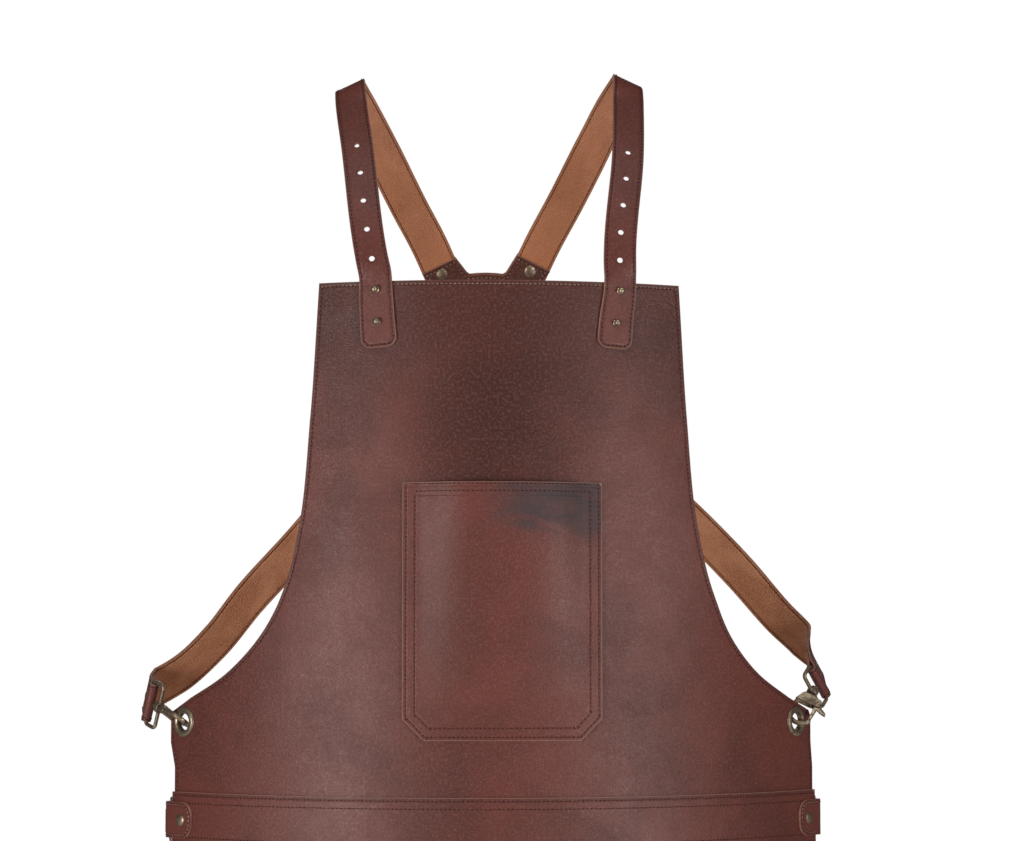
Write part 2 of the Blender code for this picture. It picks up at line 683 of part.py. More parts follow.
def make_snap(name, side):
    centre, axis, normal, across = hook_frame(name, side)
    eye_frame = Matrix.Translation(centre) @ Matrix((axis, across, axis.cross(across))).transposed().to_4x4()
    eye = wire("swivel_eye_" + name, rounded_loop(EYE_NEAR, EYE_FAR, EYE_HALF, 0.0035),
               EYE_WIRE, eye_frame, METAL, cyclic=True)
    along_axis = aligned(centre + axis * BOSS_U, axis)
    join(eye, cylinder("eye_boss_" + name, BOSS_R, BOSS_LENGTH, along_axis, 16))
    boolean(eye, cylinder("eye_bore_" + name, BOSS_BORE, 0.02, along_axis, 16))

    turn = HOOK_TURN[name]
    face = normal * math.cos(turn) + across * math.sin(turn)
    frame = Matrix.Translation(centre) @ Matrix((axis, face, axis.cross(face))).transposed().to_4x4()
    curve = [(x, y, 0) for x, y in smooth_outline(HOOK_BEND, 0.004)]
    hook = wire("snap_hook_" + name, curve, HOOK_WIRE, frame, METAL)
    block = plate("hook_body_" + name, HOOK_BODY, BODY_THICK, frame, METAL, CUTTERS)
    neck = cylinder("hook_neck_" + name, NECK_R, NECK_LENGTH, aligned(centre + axis * NECK_U, axis), 16)
    head = cylinder("hook_head_" + name, HEAD_R, HEAD_LENGTH, aligned(centre + axis * HEAD_U, axis), 16)
    join(hook, block, neck, head)
    boolean(hook, plate("hook_slot_" + name, HOOK_SLOT, SLOT_WIDE, frame, METAL, CUTTERS))
    pin_frame = aligned(frame @ Vector((*PIN_AT, 0)), axis.cross(face))
    boolean(hook, cylinder("pin_bore_" + name, PIN_BORE, 0.012, pin_frame))
    cylinder("trigger_pin_" + name, PIN_R, PIN_LENGTH, pin_frame, 12, PARTS, METAL)
    trigger = plate("trigger_" + name, LEVER, LEVER_THICK, frame, METAL)
    boolean(trigger, cylinder("trigger_bore_" + name, PIN_BORE, 0.012, pin_frame))


# ---------------------------------------------------------------- waist

def make_tab(name, side, layers):
    """A leather tab folded round the side edge, with its rivet and the ring in its fold."""
    outer, inner = 1.5 * LEATHER + 2 * GAP, -2.5 * LEATHER - 2 * GAP
    middle = (outer + inner) / 2
    edge = side * WAIST_HALF + WAIST_SHIFT
    turn_s = edge + side * 0.0040
    tip_s = edge - side * (TAB_LEAF - 0.0095)

    def on_wrap(s, lift, normal_lift=1):
        return wrapped(s, TAB_Z, lift), outward(s) * normal_lift

    count = 4
    path = [on_wrap(tip_s + (turn_s - tip_s) * k / count, outer) for k in range(count + 1)]
    centre, out, tangent = wrapped(turn_s, TAB_Z, middle), outward(turn_s), edge_tangent(turn_s) * side
    radius = (outer - inner) / 2
    for k in range(1, 8):
        angle = math.pi * k / 8
        ray = out * math.cos(angle) + tangent * math.sin(angle)
        path.append((centre + ray * radius, ray))
    path += [on_wrap(turn_s + (tip_s - turn_s) * k / count, inner, -1) for k in range(count + 1)]
    tab = strap("waist_tab_" + name, path, lambda f: TAB_HEIGHT, finish("tab_hide_" + name, HIDE, 0.42),
                corner=(0.012, 0.012))
    rivet_s = edge - side * 0.0135
    at, normal = wrapped(rivet_s, TAB_Z, middle), outward(rivet_s)
    for layer in layers + (tab,):
        hole(layer, at, normal, RIVET_HOLE, 0.03)
    rivet("tab_rivet_" + name, at, normal, outer - inner + LEATHER + GAP, 0.0050)

    away = Vector((side * RING_LEAN[name], 1, 0)).normalized()
    bar = wrapped(turn_s, RING_Z, middle)
    frame = Matrix.Translation(bar) @ Matrix((away, UP, away.cross(UP))).transposed().to_4x4()
    loop = [(0, RING_HALF, 0), (0, -RING_HALF, 0)]
    for y, start in ((RING_CORNER - RING_HALF, -90), (RING_HALF - RING_CORNER, 0)):
        for k in range(6):
            angle = math.radians(start + 90 * k / 5)
            loop.append((RING_DEPTH - RING_CORNER + RING_CORNER * math.cos(angle),
                         y + RING_CORNER * math.sin(angle), 0))
    wire("d_ring_" + name, loop, RING_WIRE, frame, METAL, cyclic=True)
    return bar, bar + away * RING_DEPTH, away


# Centres of the slack strap behind, from the right ring round to the left one.
WAIST_ROUTE = ((0.2888, 0.1060, -0.6458), (0.2820, 0.126, -0.679), (0.251, 0.137, -0.737),
               (0.188, 0.143, -0.801), (0.095, 0.148, -0.846), (0.0, 0.150, -0.860),
               (-0.095, 0.148, -0.847), (-0.183, 0.142, -0.803), (-0.248, 0.129, -0.740),
               (-0.2765, 0.113, -0.680), (-0.2834, 0.0920, -0.6462))


def make_waist(layers):
    ends = {}
    for name, side in SIDES:
        ends[name] = make_tab(name, side, layers)
    folds = {}
    for name, side in SIDES:
        _, bow, away = ends[name]
        face = Vector((side, 0, 0))
        face = (face - away * face.dot(away)).normalized()
        folds[name] = (fold_path(bow, away, -face, 0.032, 0.027, WAIST_LOOP_R, 0.014), face, bow, away)
    right, left = folds["right"][0][::-1], folds["left"][0]
    middle = []
    for x, y, z in WAIST_ROUTE:
        middle.append((Vector((x, y, z)), Vector((x * 2.6, 0.05, -1 + abs(x) * 3.2)).normalized()))
    path = right[:-1] + smooth_path([right[-1]] + middle + [left[0]], 0.014) + left[1:]
    band = strap("waist_strap", path, lambda f: WAIST_WIDTH, finish("waist_hide", DARK_HIDE, 0.45),
                 THIN_LEATHER, corner=(0.003, 0.003))
    for name, (_, face, bow, away) in folds.items():
        at = bow + away * 0.021
        hole(band, at, face, RIVET_HOLE)
        rivet("waist_rivet_" + name, at, face, 0.0025 + THIN_LEATHER, 0.0045)


METAL = finish("antique_brass", BRASS, 0.35, 1.0)
YOKES = []
BIB, SKIRT, BAND, FACING = make_front()
make_straps()
for side_name, side_sign in SIDES:
    make_eyelet(side_name)
    make_snap(side_name, side_sign)
make_waist((BIB, SKIRT, BAND, FACING))
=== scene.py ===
"""Cross-back leather work apron: fine leather, stitching and antique brass around its fixed frame."""

import math

import bmesh
import bpy
import numpy as np
from bpy.props import FloatProperty, FloatVectorProperty, IntProperty, PointerProperty
from mathutils import Matrix, Vector


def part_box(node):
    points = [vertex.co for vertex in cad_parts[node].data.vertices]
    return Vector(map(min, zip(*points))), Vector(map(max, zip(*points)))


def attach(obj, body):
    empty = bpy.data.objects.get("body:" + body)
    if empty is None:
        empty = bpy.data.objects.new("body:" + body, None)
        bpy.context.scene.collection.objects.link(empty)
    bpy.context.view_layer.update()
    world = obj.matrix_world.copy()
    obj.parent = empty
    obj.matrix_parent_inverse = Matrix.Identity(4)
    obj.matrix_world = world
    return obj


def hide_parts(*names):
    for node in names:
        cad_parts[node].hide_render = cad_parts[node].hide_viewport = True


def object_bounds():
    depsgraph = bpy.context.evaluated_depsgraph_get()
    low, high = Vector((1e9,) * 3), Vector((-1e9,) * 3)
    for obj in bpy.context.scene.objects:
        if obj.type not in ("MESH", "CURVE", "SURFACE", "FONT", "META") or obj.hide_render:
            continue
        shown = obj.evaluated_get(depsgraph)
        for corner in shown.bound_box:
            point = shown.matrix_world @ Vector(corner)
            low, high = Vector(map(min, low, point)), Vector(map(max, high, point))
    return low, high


bl_info = {
    "name": "Leather Work Apron",
    "version": (1, 0, 0),
    "blender": (4, 5, 0),
    "location": "3D View > Sidebar > Apron",
    "description": "Builds the leather, stitching and hardware of a cross-back work apron",
    "category": "Object",
}

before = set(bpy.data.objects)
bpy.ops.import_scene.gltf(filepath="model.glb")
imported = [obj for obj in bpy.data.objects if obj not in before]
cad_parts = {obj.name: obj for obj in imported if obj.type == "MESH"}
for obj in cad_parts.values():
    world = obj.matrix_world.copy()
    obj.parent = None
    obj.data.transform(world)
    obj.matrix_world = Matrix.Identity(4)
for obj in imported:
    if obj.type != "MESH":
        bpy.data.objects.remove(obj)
CAD_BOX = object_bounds()

UP = Vector((0, 0, 1))
SIDES = (("left", -1), ("right", 1))
LEATHER = 0.002
THIN_LEATHER, WORN_THIN = 0.0018, 0.0014  # the slack strap: where riveted, and elsewhere
GAP = 0.0003

# The front hugs an upright cylinder: s runs round it, z is the height.
WRAP_R = 0.365
AXIS_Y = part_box("waistband")[0].y + GAP + LEATHER + WRAP_R
BIB_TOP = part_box("bib_panel")[1].z
SEAM_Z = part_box("skirt_panel")[1].z + 0.0005
HEM_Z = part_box("skirt_panel")[0].z
BAND_TOP, BAND_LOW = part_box("waistband")[1].z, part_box("waistband")[0].z
FACING_TOP, FACING_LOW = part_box("waistband_facing")[1].z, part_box("waistband_facing")[0].z
POCKET_TOP, POCKET_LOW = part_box("chest_pocket")[1].z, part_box("chest_pocket")[0].z
CHEST_SHIFT = 0.0045
WAIST_SHIFT = 0.008
EAR_SHIFT = 0.0037
WAIST_HALF = 0.317
PANEL_HALF = WAIST_HALF - GAP  # bib, skirt and facing end just inside the band
EAR_HALF = 0.3184
# The ear's straight edge, and where it has run back in to the waist.
EAR_HIGH_Z, EAR_LOW_Z, EAR_FOOT_Z = -0.5515, -0.574, -0.595
# The armhole passes from the chest's shift to the ear's round this height.
SHIFT_Z, CHEST_EASE, EAR_EASE = -0.535, 0.08, 0.0118
ARMHOLE = ((0.158, BIB_TOP), (0.166, -0.300), (0.1755, -0.388), (0.190, -0.441),
           (0.211, -0.480), (0.244, -0.512), (0.288, -0.535), (EAR_HALF - 0.003, -0.5468))
HEM_CORNER = 0.060
POCKET_S, POCKET_HALF = 0.0055, 0.0838
POCKET_CHAMFER = 0.018
POCKET_GAPE = 0.010

FRONT_WIDTH, NECK_WIDTH, BACK_WIDTH = 0.0305, 0.0275, 0.034
RIDGE_SLOPE = math.radians(25)
RIDGE_HALF = 0.006
SHOULDER_BEND = 1.9
STUD_Z = (-0.1913, -0.2187)
SPARE_HOLES = 5
SPARE_HOLE_R, STUD_HOLE_R = 0.0024, 0.0021
BACK_Y, BACK_CURVE, BACK_FLAT_Z = 0.181, 1.975, -0.25
BACK_STEP = 0.007
YOKE_LAYER = LEATHER + GAP
YOKE_ARM_HALF, YOKE_ARM_END = 0.0168, 0.0078
# Top edge between the upper arms.
YOKE_NOTCH = [(-0.0163, -0.1455), (-0.0137, -0.1472), (-0.0070, -0.1465), (0.0018, -0.1462),
              (0.0106, -0.1465), (0.0171, -0.1472), (0.0200, -0.1455)]
STRAP_IN_YOKE = 0.014
UPPER_RIVET = {"left": (-0.0393, -0.1465), "right": (0.0422, -0.1434)}
LOWER_RIVET = {"left": (-0.0410, -0.2360), "right": (0.0410, -0.2360)}
UPPER_AWAY = {"left": (-0.434, 0.901), "right": (0.434, 0.901)}
LOWER_AWAY = {"left": (-0.625, -0.781), "right": (0.670, -0.742)}
RIDGE = {"left": (-0.1238, -0.0020), "right": (0.1190, 0.0040)}
# Strap centres: end on the bib, first and second stud, then three free points up the front.
STRAP_FRONT = {
    "left": ((-0.0976, -0.0992, -0.1007), ((-0.1045, -0.165), (-0.1174, -0.063), (-0.1228, -0.020))),
    "right": ((0.0996, 0.1012, 0.1046), ((0.1052, -0.165), (0.1150, -0.068), (0.1182, -0.016))),
}
STRAP_END_Z = -0.2402
# Strap centres from the shoulder down the upper back.
STRAP_BACK = {
    "left": ((-0.1148, 0.031, -0.0148), (-0.0983, 0.075, -0.0417), (-0.0709, 0.125, -0.0889)),
    "right": ((0.1112, 0.031, -0.0078), (0.0978, 0.075, -0.0354), (0.0729, 0.125, -0.0844)),
}
# Side strap centres between the yoke and the snap hook.
SIDE_ROUTE = {
    "left": ((-0.1036, 0.172, -0.315), (-0.166, 0.149, -0.394), (-0.2146, 0.124, -0.449),
             (-0.2450, 0.113, -0.488), (-0.2730, 0.1045, -0.5145), (-0.2925, 0.0935, -0.5265)),
    "right": ((0.1227, 0.169, -0.3148), (0.1884, 0.150, -0.3755), (0.2334, 0.132, -0.4240),
              (0.2668, 0.112, -0.4655), (0.2842, 0.094, -0.4850)),
}
# Centres of the slack strap behind, from the right ring round to the left one.
WAIST_ROUTE = ((0.2888, 0.1060, -0.6458), (0.2820, 0.126, -0.679), (0.251, 0.137, -0.737),
               (0.188, 0.143, -0.801), (0.095, 0.148, -0.846), (0.0, 0.150, -0.860),
               (-0.095, 0.148, -0.847), (-0.183, 0.142, -0.803), (-0.248, 0.129, -0.740),
               (-0.2765, 0.113, -0.680), (-0.2834, 0.0920, -0.6462))

# Snap hooks: their frame starts at the eyelet and runs along the hook's axis.
EYELET_S = {"left": -0.2969, "right": 0.2992}
EYELET_Z = -0.556
EYELET_R, EYELET_HOLE_R = 0.0131, 0.0074
BARREL_R, BARREL_LOW, EYELET_CUT_R = 0.0084, -0.0034, 0.0088
HOOK_LIFT = {"left": math.radians(19), "right": math.radians(43)}
HOOK_TURN = {"left": math.radians(150), "right": math.radians(35)}
STRAP_TURN = math.radians(35)
EYE_NEAR, EYE_FAR, EYE_HALF, EYE_CORNER = 0.0365, 0.0500, 0.0195, 0.0035
FOLD_R = 0.0035
FOLD_SPACING = 0.0025  # between the middles of a fold's two layers
PIN_AT = (0.0255, 0.0100)
# Shapes in the hook's own plane: x along its axis, y towards the side with the trigger's pin.
HOOK_BEND = ((0.0270, -0.0050), (0.0205, -0.0078), (0.0130, -0.0086), (0.0060, -0.0079),
             (0.0012, -0.0050), (-0.0007, -0.0002), (0.0008, 0.0054), (0.0032, 0.0088),
             (0.0056, 0.0100))
HOOK_BODY = ((0.0213, -0.0101), (0.0300, -0.0066), (0.0320, -0.0050), (0.0320, 0.0050),
             (0.0314, 0.0055), (0.0213, 0.0055), (0.0213, -0.0050))
HOOK_CHEEK = ((0.0216, 0.0040), (0.0313, 0.0040), (0.0296, 0.0118), (0.0280, 0.0126),
              (0.0232, 0.0126), (0.0222, 0.0112))
BODY_THICK, CHEEK_THICK, CHEEK_AT, LEVER_THICK = 0.0068, 0.0015, 0.00265, 0.0029
# Turned profiles as (radius, height), and how far along the hook's axis they sit.
BOSS_AT, NECK_AT, BOSS_BORE = 0.0367, 0.0356, 0.0027
BOSS = ((BOSS_BORE, 0.0027), (0.0044, 0.0029), (0.0050, 0.0022), (0.0052, 0.0),
        (0.0050, -0.0022), (0.0044, -0.0029), (BOSS_BORE, -0.0027))
NECK = ((0, 0.0064), (0.0034, 0.0060), (0.0034, 0.0048), (0.0022, 0.0042),
        (0.0022, -0.0040), (0.0036, -0.0052), (0, -0.0056))
PIN = ((0, 0.0039), (0.0010, 0.0037), (0.0012, 0.0034), (0.0010, 0.0033),
       (0.0010, -0.0033), (0.0012, -0.0034), (0.0010, -0.0037), (0, -0.0039))
TAB_Z, TAB_HEIGHT, TAB_LEAF = -0.640, 0.031, 0.036
RING_HALF, RING_DEPTH, RING_CORNER, RING_Z = 0.020, 0.022, 0.010, -0.6426
RING_LEAN = {"left": 0.10, "right": 0.0}
WAIST_WIDTH, WAIST_LOOP_R = 0.020, 0.0049
PLAIN_END = 0.064  # the slack strap's ends have no stitches where they fold round the rings


# ---------------------------------------------------------------- settings

def size(name, text, default, low=0.0, high=0.1):
    return FloatProperty(name=name, description=text, default=default, min=low, max=high,
                         subtype="DISTANCE", unit="LENGTH", precision=5)


def colour(name, text, default):
    return FloatVectorProperty(name=name, description=text, default=default, size=3,
                               min=0.0, max=1.0, subtype="COLOR")


class APRON_PG_leather(bpy.types.PropertyGroup):
    hide: colour("Hide", "Grain side of the panels and straps", (0.145, 0.036, 0.026))
    hide_dark: colour("Dark patches", "Where the hide has taken up oil", (0.074, 0.019, 0.013))
    # Partly painted shade: the bib's darker upper middle and top stand in for where the lamps'
    # reflections fall off, along with the hide's own darkening.
    hide_patina_and_painted_shade: colour("Handled", "Darkened upper middle of the bib", (0.045, 0.012, 0.008))
    hide_worn: colour("Worn", "Where the hide is rubbed", (0.25, 0.092, 0.072))
    yoke: colour("Yoke", "Hide of the yoke and the waist strap", (0.072, 0.025, 0.017))
    suede: colour("Flesh side", "Inner side of the straps", (0.42, 0.155, 0.066))
    suede_light: colour("Flesh, brushed", "Brushed-up fibres", (0.60, 0.26, 0.135))
    suede_dark: colour("Flesh, flat", "Pressed and soiled fibres", (0.21, 0.066, 0.026))
    # Painted light: the side straps' flesh gets paler fibres to stand in for the light that reaches
    # them.
    suede_painted_light: colour("Flesh, side straps", "Brushed-up fibres there", (0.92, 0.47, 0.26))
    raw_edge: colour("Raw edge", "Cut edge of the leather", (0.46, 0.26, 0.19))
    light_thread: colour("Light thread", "Topstitching along the bib's top", (0.40, 0.25, 0.18))
    dark_thread: colour("Dark thread", "Stitching of the sides, pocket, band and straps",
                        (0.125, 0.026, 0.018))
    pitch: size("Stitch pitch", "From one stitch to the next", 0.0037, 0.002, 0.02)
    thread: size("Thread", "Thickness of the thread", 0.0008, 0.0002, 0.003)
    cell: size("Mesh cell", "Size of the panels' mesh cells", 0.004, 0.002, 0.02)


class APRON_PG_metal(bpy.types.PropertyGroup):
    brass: colour("Brass", "Polished high spots", (0.52, 0.42, 0.29))
    tarnish: colour("Tarnish", "Dull brown in the hollows", (0.20, 0.148, 0.105))
    eye_wire: size("Eye wire", "Radius of the strap eye's wire", 0.00175)
    hook_wire: size("Hook wire", "Radius of the hook's bent end", 0.0022)
    ring_wire: size("Ring wire", "Radius of the waist rings' wire", 0.0015)
    turns: IntProperty(name="Turned steps", description="Steps round a turned piece",
                       default=40, min=12, max=128)


class APRON_PG_stage(bpy.types.PropertyGroup):
    floor: colour("Floor", "Pale floor", (0.86, 0.86, 0.86))
    lens: FloatProperty(name="Lens", description="Focal length in millimetres", default=104.55)
    eye: FloatVectorProperty(name="Camera", description="Where the camera stands", size=3,
                             default=(-0.105, -2.605, -0.4857), subtype="XYZ", unit="LENGTH")
    turn: FloatProperty(name="Turn", description="Camera turned to the right",
                        default=math.radians(2.79), subtype="ANGLE", unit="ROTATION")
    tilt: FloatProperty(name="Tilt", description="Camera tilted up",
                        default=math.radians(4.19), subtype="ANGLE", unit="ROTATION")
    drop: size("Drop", "From the hem to the floor", 0.30, 0.0, 2.0)


# ---------------------------------------------------------------- node trees

class Value:
    """A node's socket, with the maths that finishes are written in."""

    def __init__(self, tree, socket):
        self.tree, self.socket = tree, socket

    def maths(self, operation, *values):
        return self.tree.node("ShaderNodeMath", {"operation": operation},
                              dict(enumerate(values)))

    def __add__(self, other):
        return self.maths("ADD", self, other)

    def __sub__(self, other):
        return self.maths("SUBTRACT", self, other)

    def __rsub__(self, other):
        return self.maths("SUBTRACT", other, self)

    def __mul__(self, other):
        return self.maths("MULTIPLY", self, other)

    def __abs__(self):
        return self.maths("ABSOLUTE", self)

    __radd__, __rmul__ = __add__, __mul__


class Tree:
    """A node tree that is written as expressions."""

    def __init__(self, nodes):
        self.nodes = nodes

    def node(self, kind, settings=None, sockets=None, out=0):
        made = self.nodes.nodes.new(kind)
        for key, value in (settings or {}).items():
            setattr(made, key, value)
        for key, value in (sockets or {}).items():
            if isinstance(value, Value):
                self.nodes.links.new(value.socket, made.inputs[key])
            else:
                made.inputs[key].default_value = value
        return Value(self, made.outputs[out]) if made.outputs else made


class Finish(Tree):
    """A material with one Principled shader."""

    def __init__(self, name):
        self.material = bpy.data.materials.new(name)
        self.material.use_nodes = True
        super().__init__(self.material.node_tree)
        self.shader = self.nodes.nodes["Principled BSDF"]

    def uv(self):
        return self.node("ShaderNodeTexCoord", out="UV")

    def place(self):
        return self.node("ShaderNodeTexCoord", out="Object")

    def attribute(self, name):
        return self.node("ShaderNodeAttribute", {"attribute_name": name}, out="Fac")

    def stretched(self, vector, scale, turn=0.0):
        return self.node("ShaderNodeMapping", None, {"Vector": vector, "Scale": scale,
                                                     "Rotation": (0, 0, turn)})

    def noise(self, vector, scale, detail=3.0, rough=0.55, bend=0.0):
        return self.node("ShaderNodeTexNoise", None, {
            "Vector": vector, "Scale": scale, "Detail": detail, "Roughness": rough,
            "Distortion": bend})

    def cells(self, vector, scale, feature="F1"):
        return self.node("ShaderNodeTexVoronoi", {"feature": feature},
                         {"Vector": vector, "Scale": scale})

    def across_up(self, uv):
        """The two directions of the flat piece, as values."""
        return (self.node("ShaderNodeSeparateXYZ", None, {0: uv}, out=k) for k in (0, 1))

    def ease(self, value, low, high, start=0.0, end=1.0):
        """Smoothly from start to end while value goes from low to high."""
        return self.node("ShaderNodeMapRange", {"interpolation_type": "SMOOTHSTEP"},
                         dict(enumerate((value, low, high, start, end))))

    def groove(self, edge, at, reach=0.0016):
        """The furrow that a row of stitches pulls into the leather, at from its edge."""
        return self.ease(abs(edge - at), 0.0003, reach, 1.0, 0.0)

    def mix(self, share, a, b):
        made = self.nodes.nodes.new("ShaderNodeMix")
        made.data_type = "RGBA"
        for slot, value in ((0, share), (6, a), (7, b)):
            if isinstance(value, Value):
                self.nodes.links.new(value.socket, made.inputs[slot])
            else:
                made.inputs[slot].default_value = value if slot == 0 else (*value, 1)
        return Value(self, made.outputs[2])

    def bump(self, height, depth, strength=1.0, normal=None):
        sockets = {"Height": height, "Distance": depth, "Strength": strength}
        if normal is not None:
            sockets["Normal"] = normal
        return self.node("ShaderNodeBump", None, sockets)

    def made_of(self, **sockets):
        for key, value in sockets.items():
            socket = self.shader.inputs[key.replace("_", " ")]
            if isinstance(value, Value):
                self.nodes.links.new(value.socket, socket)
            else:
                socket.default_value = value
        return self.material


# ---------------------------------------------------------------- finishes

# Rows of stitches: their distance from the cut edge.
STITCH_IN = 0.0030
POCKET_ROW, BAND_ROW = 3.5 * STITCH_IN, 0.0095
STRAP_STITCH_IN = 0.0025
FINISHES = {}


def once(build):
    """Each finish is made the first time that a piece asks for it."""
    def ask(*args):
        key = (build.__name__, *args)
        if key not in FINISHES:
            FINISHES[key] = build(*args)
        return FINISHES[key]
    return ask


def handled_and_painted_shade(f, uv):
    """Where the upper middle and the top of the bib are darker: partly years of hands and the pocket's
    use, partly painted shade where the lamps' reflections fall off.
    """
    across, up = f.across_up(uv)
    wander = (f.noise(uv, 14.0, 4.0, 0.6, 0.5) - 0.5) * 0.10
    reach = abs(across - 0.006 + wander)
    height = abs(up + 0.290 + wander)
    middle = f.ease(reach, 0.010, 0.125, 0.90, 0.0) * f.ease(height, 0.015, 0.135, 1.0, 0.0)
    # The ramp over the whole top is painted shade where the lamps' reflections fall off.
    return middle.maths("MAXIMUM", middle, f.ease(up + wander, -0.305, -0.225, 0.0, 0.66))


@once
def grain_leather(kind="hide"):
    """Oiled grain side: pebbled, creased, mottled, rubbed at the edges and drawn in at the stitches."""
    look = bpy.context.scene.apron_leather
    f = Finish(kind + "_grain")
    uv, edge = f.uv(), f.attribute("edge")
    base = look.yoke if kind == "yoke" else look.hide
    patches = f.ease(f.noise(uv, 9.0, 5.0, 0.6, 0.4), 0.40, 0.66)
    clouds = f.ease(f.noise(uv, 34.0, 4.0, 0.6, 0.2), 0.36, 0.72)
    fine = f.noise(uv, 420.0, 3.0, 0.6)
    scratch = f.ease(f.noise(f.stretched(uv, (38.0, 900.0, 1.0), 0.9), 1.0, 2.0, 0.5, 0.2), 0.69, 0.76)
    scuff = f.ease(f.noise(f.stretched(uv, (620.0, 30.0, 1.0), 0.35), 1.0, 2.0, 0.5, 0.3), 0.70, 0.78)
    marks = (scratch + scuff) * f.ease(f.noise(uv, 12.0, 2.0), 0.45, 0.65)
    rubbed = f.ease(edge, 0.0, 0.0011, 1.0, 0.0)
    oiled = f.ease(edge, 0.0008, 0.0055, 0.55, 0.0)
    groove = f.groove(edge, STITCH_IN)
    tone = f.mix(patches * 0.62 + clouds * 0.18, base, look.hide_dark)
    # Partly painted shade: the bib's upper middle and top are darkened where the lamps' reflections fall
    # off.
    if kind == "bib":
        tone = f.mix(handled_and_painted_shade(f, uv), tone, look.hide_patina_and_painted_shade)
    tone = f.mix(oiled, tone, look.hide_dark)
    tone = f.mix(f.ease(fine, 0.46, 0.68, 0.0, 0.30), tone, look.hide_worn)
    tone = f.mix(marks * 0.30, tone, look.hide_worn)
    if kind == "trim":
        tone = f.mix(f.ease(edge, 0.0002, 0.0007, 0.42, 0.0), tone, look.raw_edge)
    else:
        tone = f.mix(rubbed * 0.45, tone, look.hide_worn)
    pebbles = f.ease(f.cells(uv, 760.0, "DISTANCE_TO_EDGE"), 0.0, 0.22)
    creases = f.noise(f.stretched(uv, (150.0, 95.0, 1.0), 0.5), 1.0, 5.0, 0.62, 1.6)
    height = pebbles * 0.42 + creases * 0.9 + fine * 0.25 - groove * 1.1 - marks * 0.25
    wave = f.noise(uv, 16.0, 2.0, 0.5)
    normal = f.bump(height, 0.00022, 0.75, f.bump(wave, 0.0030, 0.35))
    shine = 0.31 + patches * 0.04 + clouds * 0.06 + fine * 0.12 - marks * 0.04 + rubbed * 0.12
    return f.made_of(Base_Color=tone, Roughness=shine, Normal=normal, Specular_IOR_Level=0.36)


@once
def pocket_leather():
    """The pocket's grain side, with a grey stain that has dried below its mouth."""
    look = bpy.context.scene.apron_leather
    f = Finish("pocket_grain")
    uv, edge = f.uv(), f.attribute("edge")
    across, up = f.across_up(uv)
    smear = f.noise(f.stretched(uv, (26.0, 60.0, 1.0)), 1.0, 5.0, 0.65, 0.8)
    stain = (f.ease(across + smear * 0.05, -0.002, 0.060)
             * f.ease(up + smear * 0.034, POCKET_TOP - 0.036, POCKET_TOP - 0.012))
    stain = stain * f.ease(smear, 0.25, 0.62, 0.35, 1.0)
    patches = f.ease(f.noise(uv, 12.0, 5.0, 0.6, 0.4), 0.40, 0.66)
    fine = f.noise(uv, 420.0, 3.0, 0.6)
    groove = f.groove(edge, STITCH_IN)
    inner = f.groove(edge, POCKET_ROW)
    tone = f.mix(patches * 0.5, look.hide, look.hide_dark)
    tone = f.mix(f.ease(fine, 0.46, 0.68, 0.0, 0.30), tone, look.hide_worn)
    tone = f.mix(stain * 0.85, tone, (0.045, 0.035, 0.036))
    tone = f.mix(f.ease(edge, 0.0002, 0.0007, 0.42, 0.0), tone, look.raw_edge)
    pebbles = f.ease(f.cells(uv, 760.0, "DISTANCE_TO_EDGE"), 0.0, 0.22)
    creases = f.noise(f.stretched(uv, (130.0, 90.0, 1.0), 0.4), 1.0, 5.0, 0.62, 1.6)
    height = pebbles * 0.42 + creases * 0.9 + fine * 0.25 - groove * 1.1 - inner * 1.1
    normal = f.bump(height, 0.00022, 0.75, f.bump(f.noise(uv, 18.0, 2.0), 0.0030, 0.35))
    shine = 0.33 + patches * 0.04 + fine * 0.12 + stain * 0.14
    return f.made_of(Base_Color=tone, Roughness=shine, Normal=normal, Specular_IOR_Level=0.36)


@once
def flesh_side(kind="back"):
    """Napped inner side: short fibres, brushed patches and darker handling marks."""
    look = bpy.context.scene.apron_leather
    f = Finish("flesh_" + kind)
    uv, edge = f.uv(), f.attribute("edge")
    brushed = f.noise(f.stretched(uv, (30.0, 14.0, 1.0), 0.3), 1.0, 5.0, 0.65, 0.7)
    nap = f.noise(f.stretched(uv, (1100.0, 700.0, 1.0), 0.25), 1.0, 3.0, 0.7, 0.5)
    grit = f.ease(f.noise(uv, 780.0, 2.0, 0.7), 0.40, 0.62)
    dirt = f.ease(f.noise(uv, 22.0, 4.0, 0.6, 0.5), 0.50, 0.74)
    light, dark = look.suede_light, look.suede_dark
    # Painted light: the side straps' flesh is lightened to stand in for the light that falls on it.
    if kind == "side":
        light, dark = look.suede_painted_light, look.suede
    tone = f.mix(f.ease(brushed, 0.30, 0.70, 0.0, 0.62), look.suede, light)
    tone = f.mix(dirt * 0.45, tone, dark)
    tone = f.mix(f.ease(nap, 0.35, 0.70, 0.35, 0.0), tone, dark)
    tone = f.mix(grit * 0.45, tone, light)
    tone = f.mix(f.ease(edge, 0.0, 0.0030, 0.25, 0.0), tone, dark)
    groove = f.groove(edge, STITCH_IN, 0.0014)
    height = nap * 0.7 + grit * 0.5 + brushed * 1.2 - groove * 0.9
    return f.made_of(Base_Color=tone, Roughness=0.88 + nap * 0.10,
                     Normal=f.bump(height, 0.0004, 0.8), Specular_IOR_Level=0.18,
                     Sheen_Weight=0.25, Sheen_Roughness=0.5)


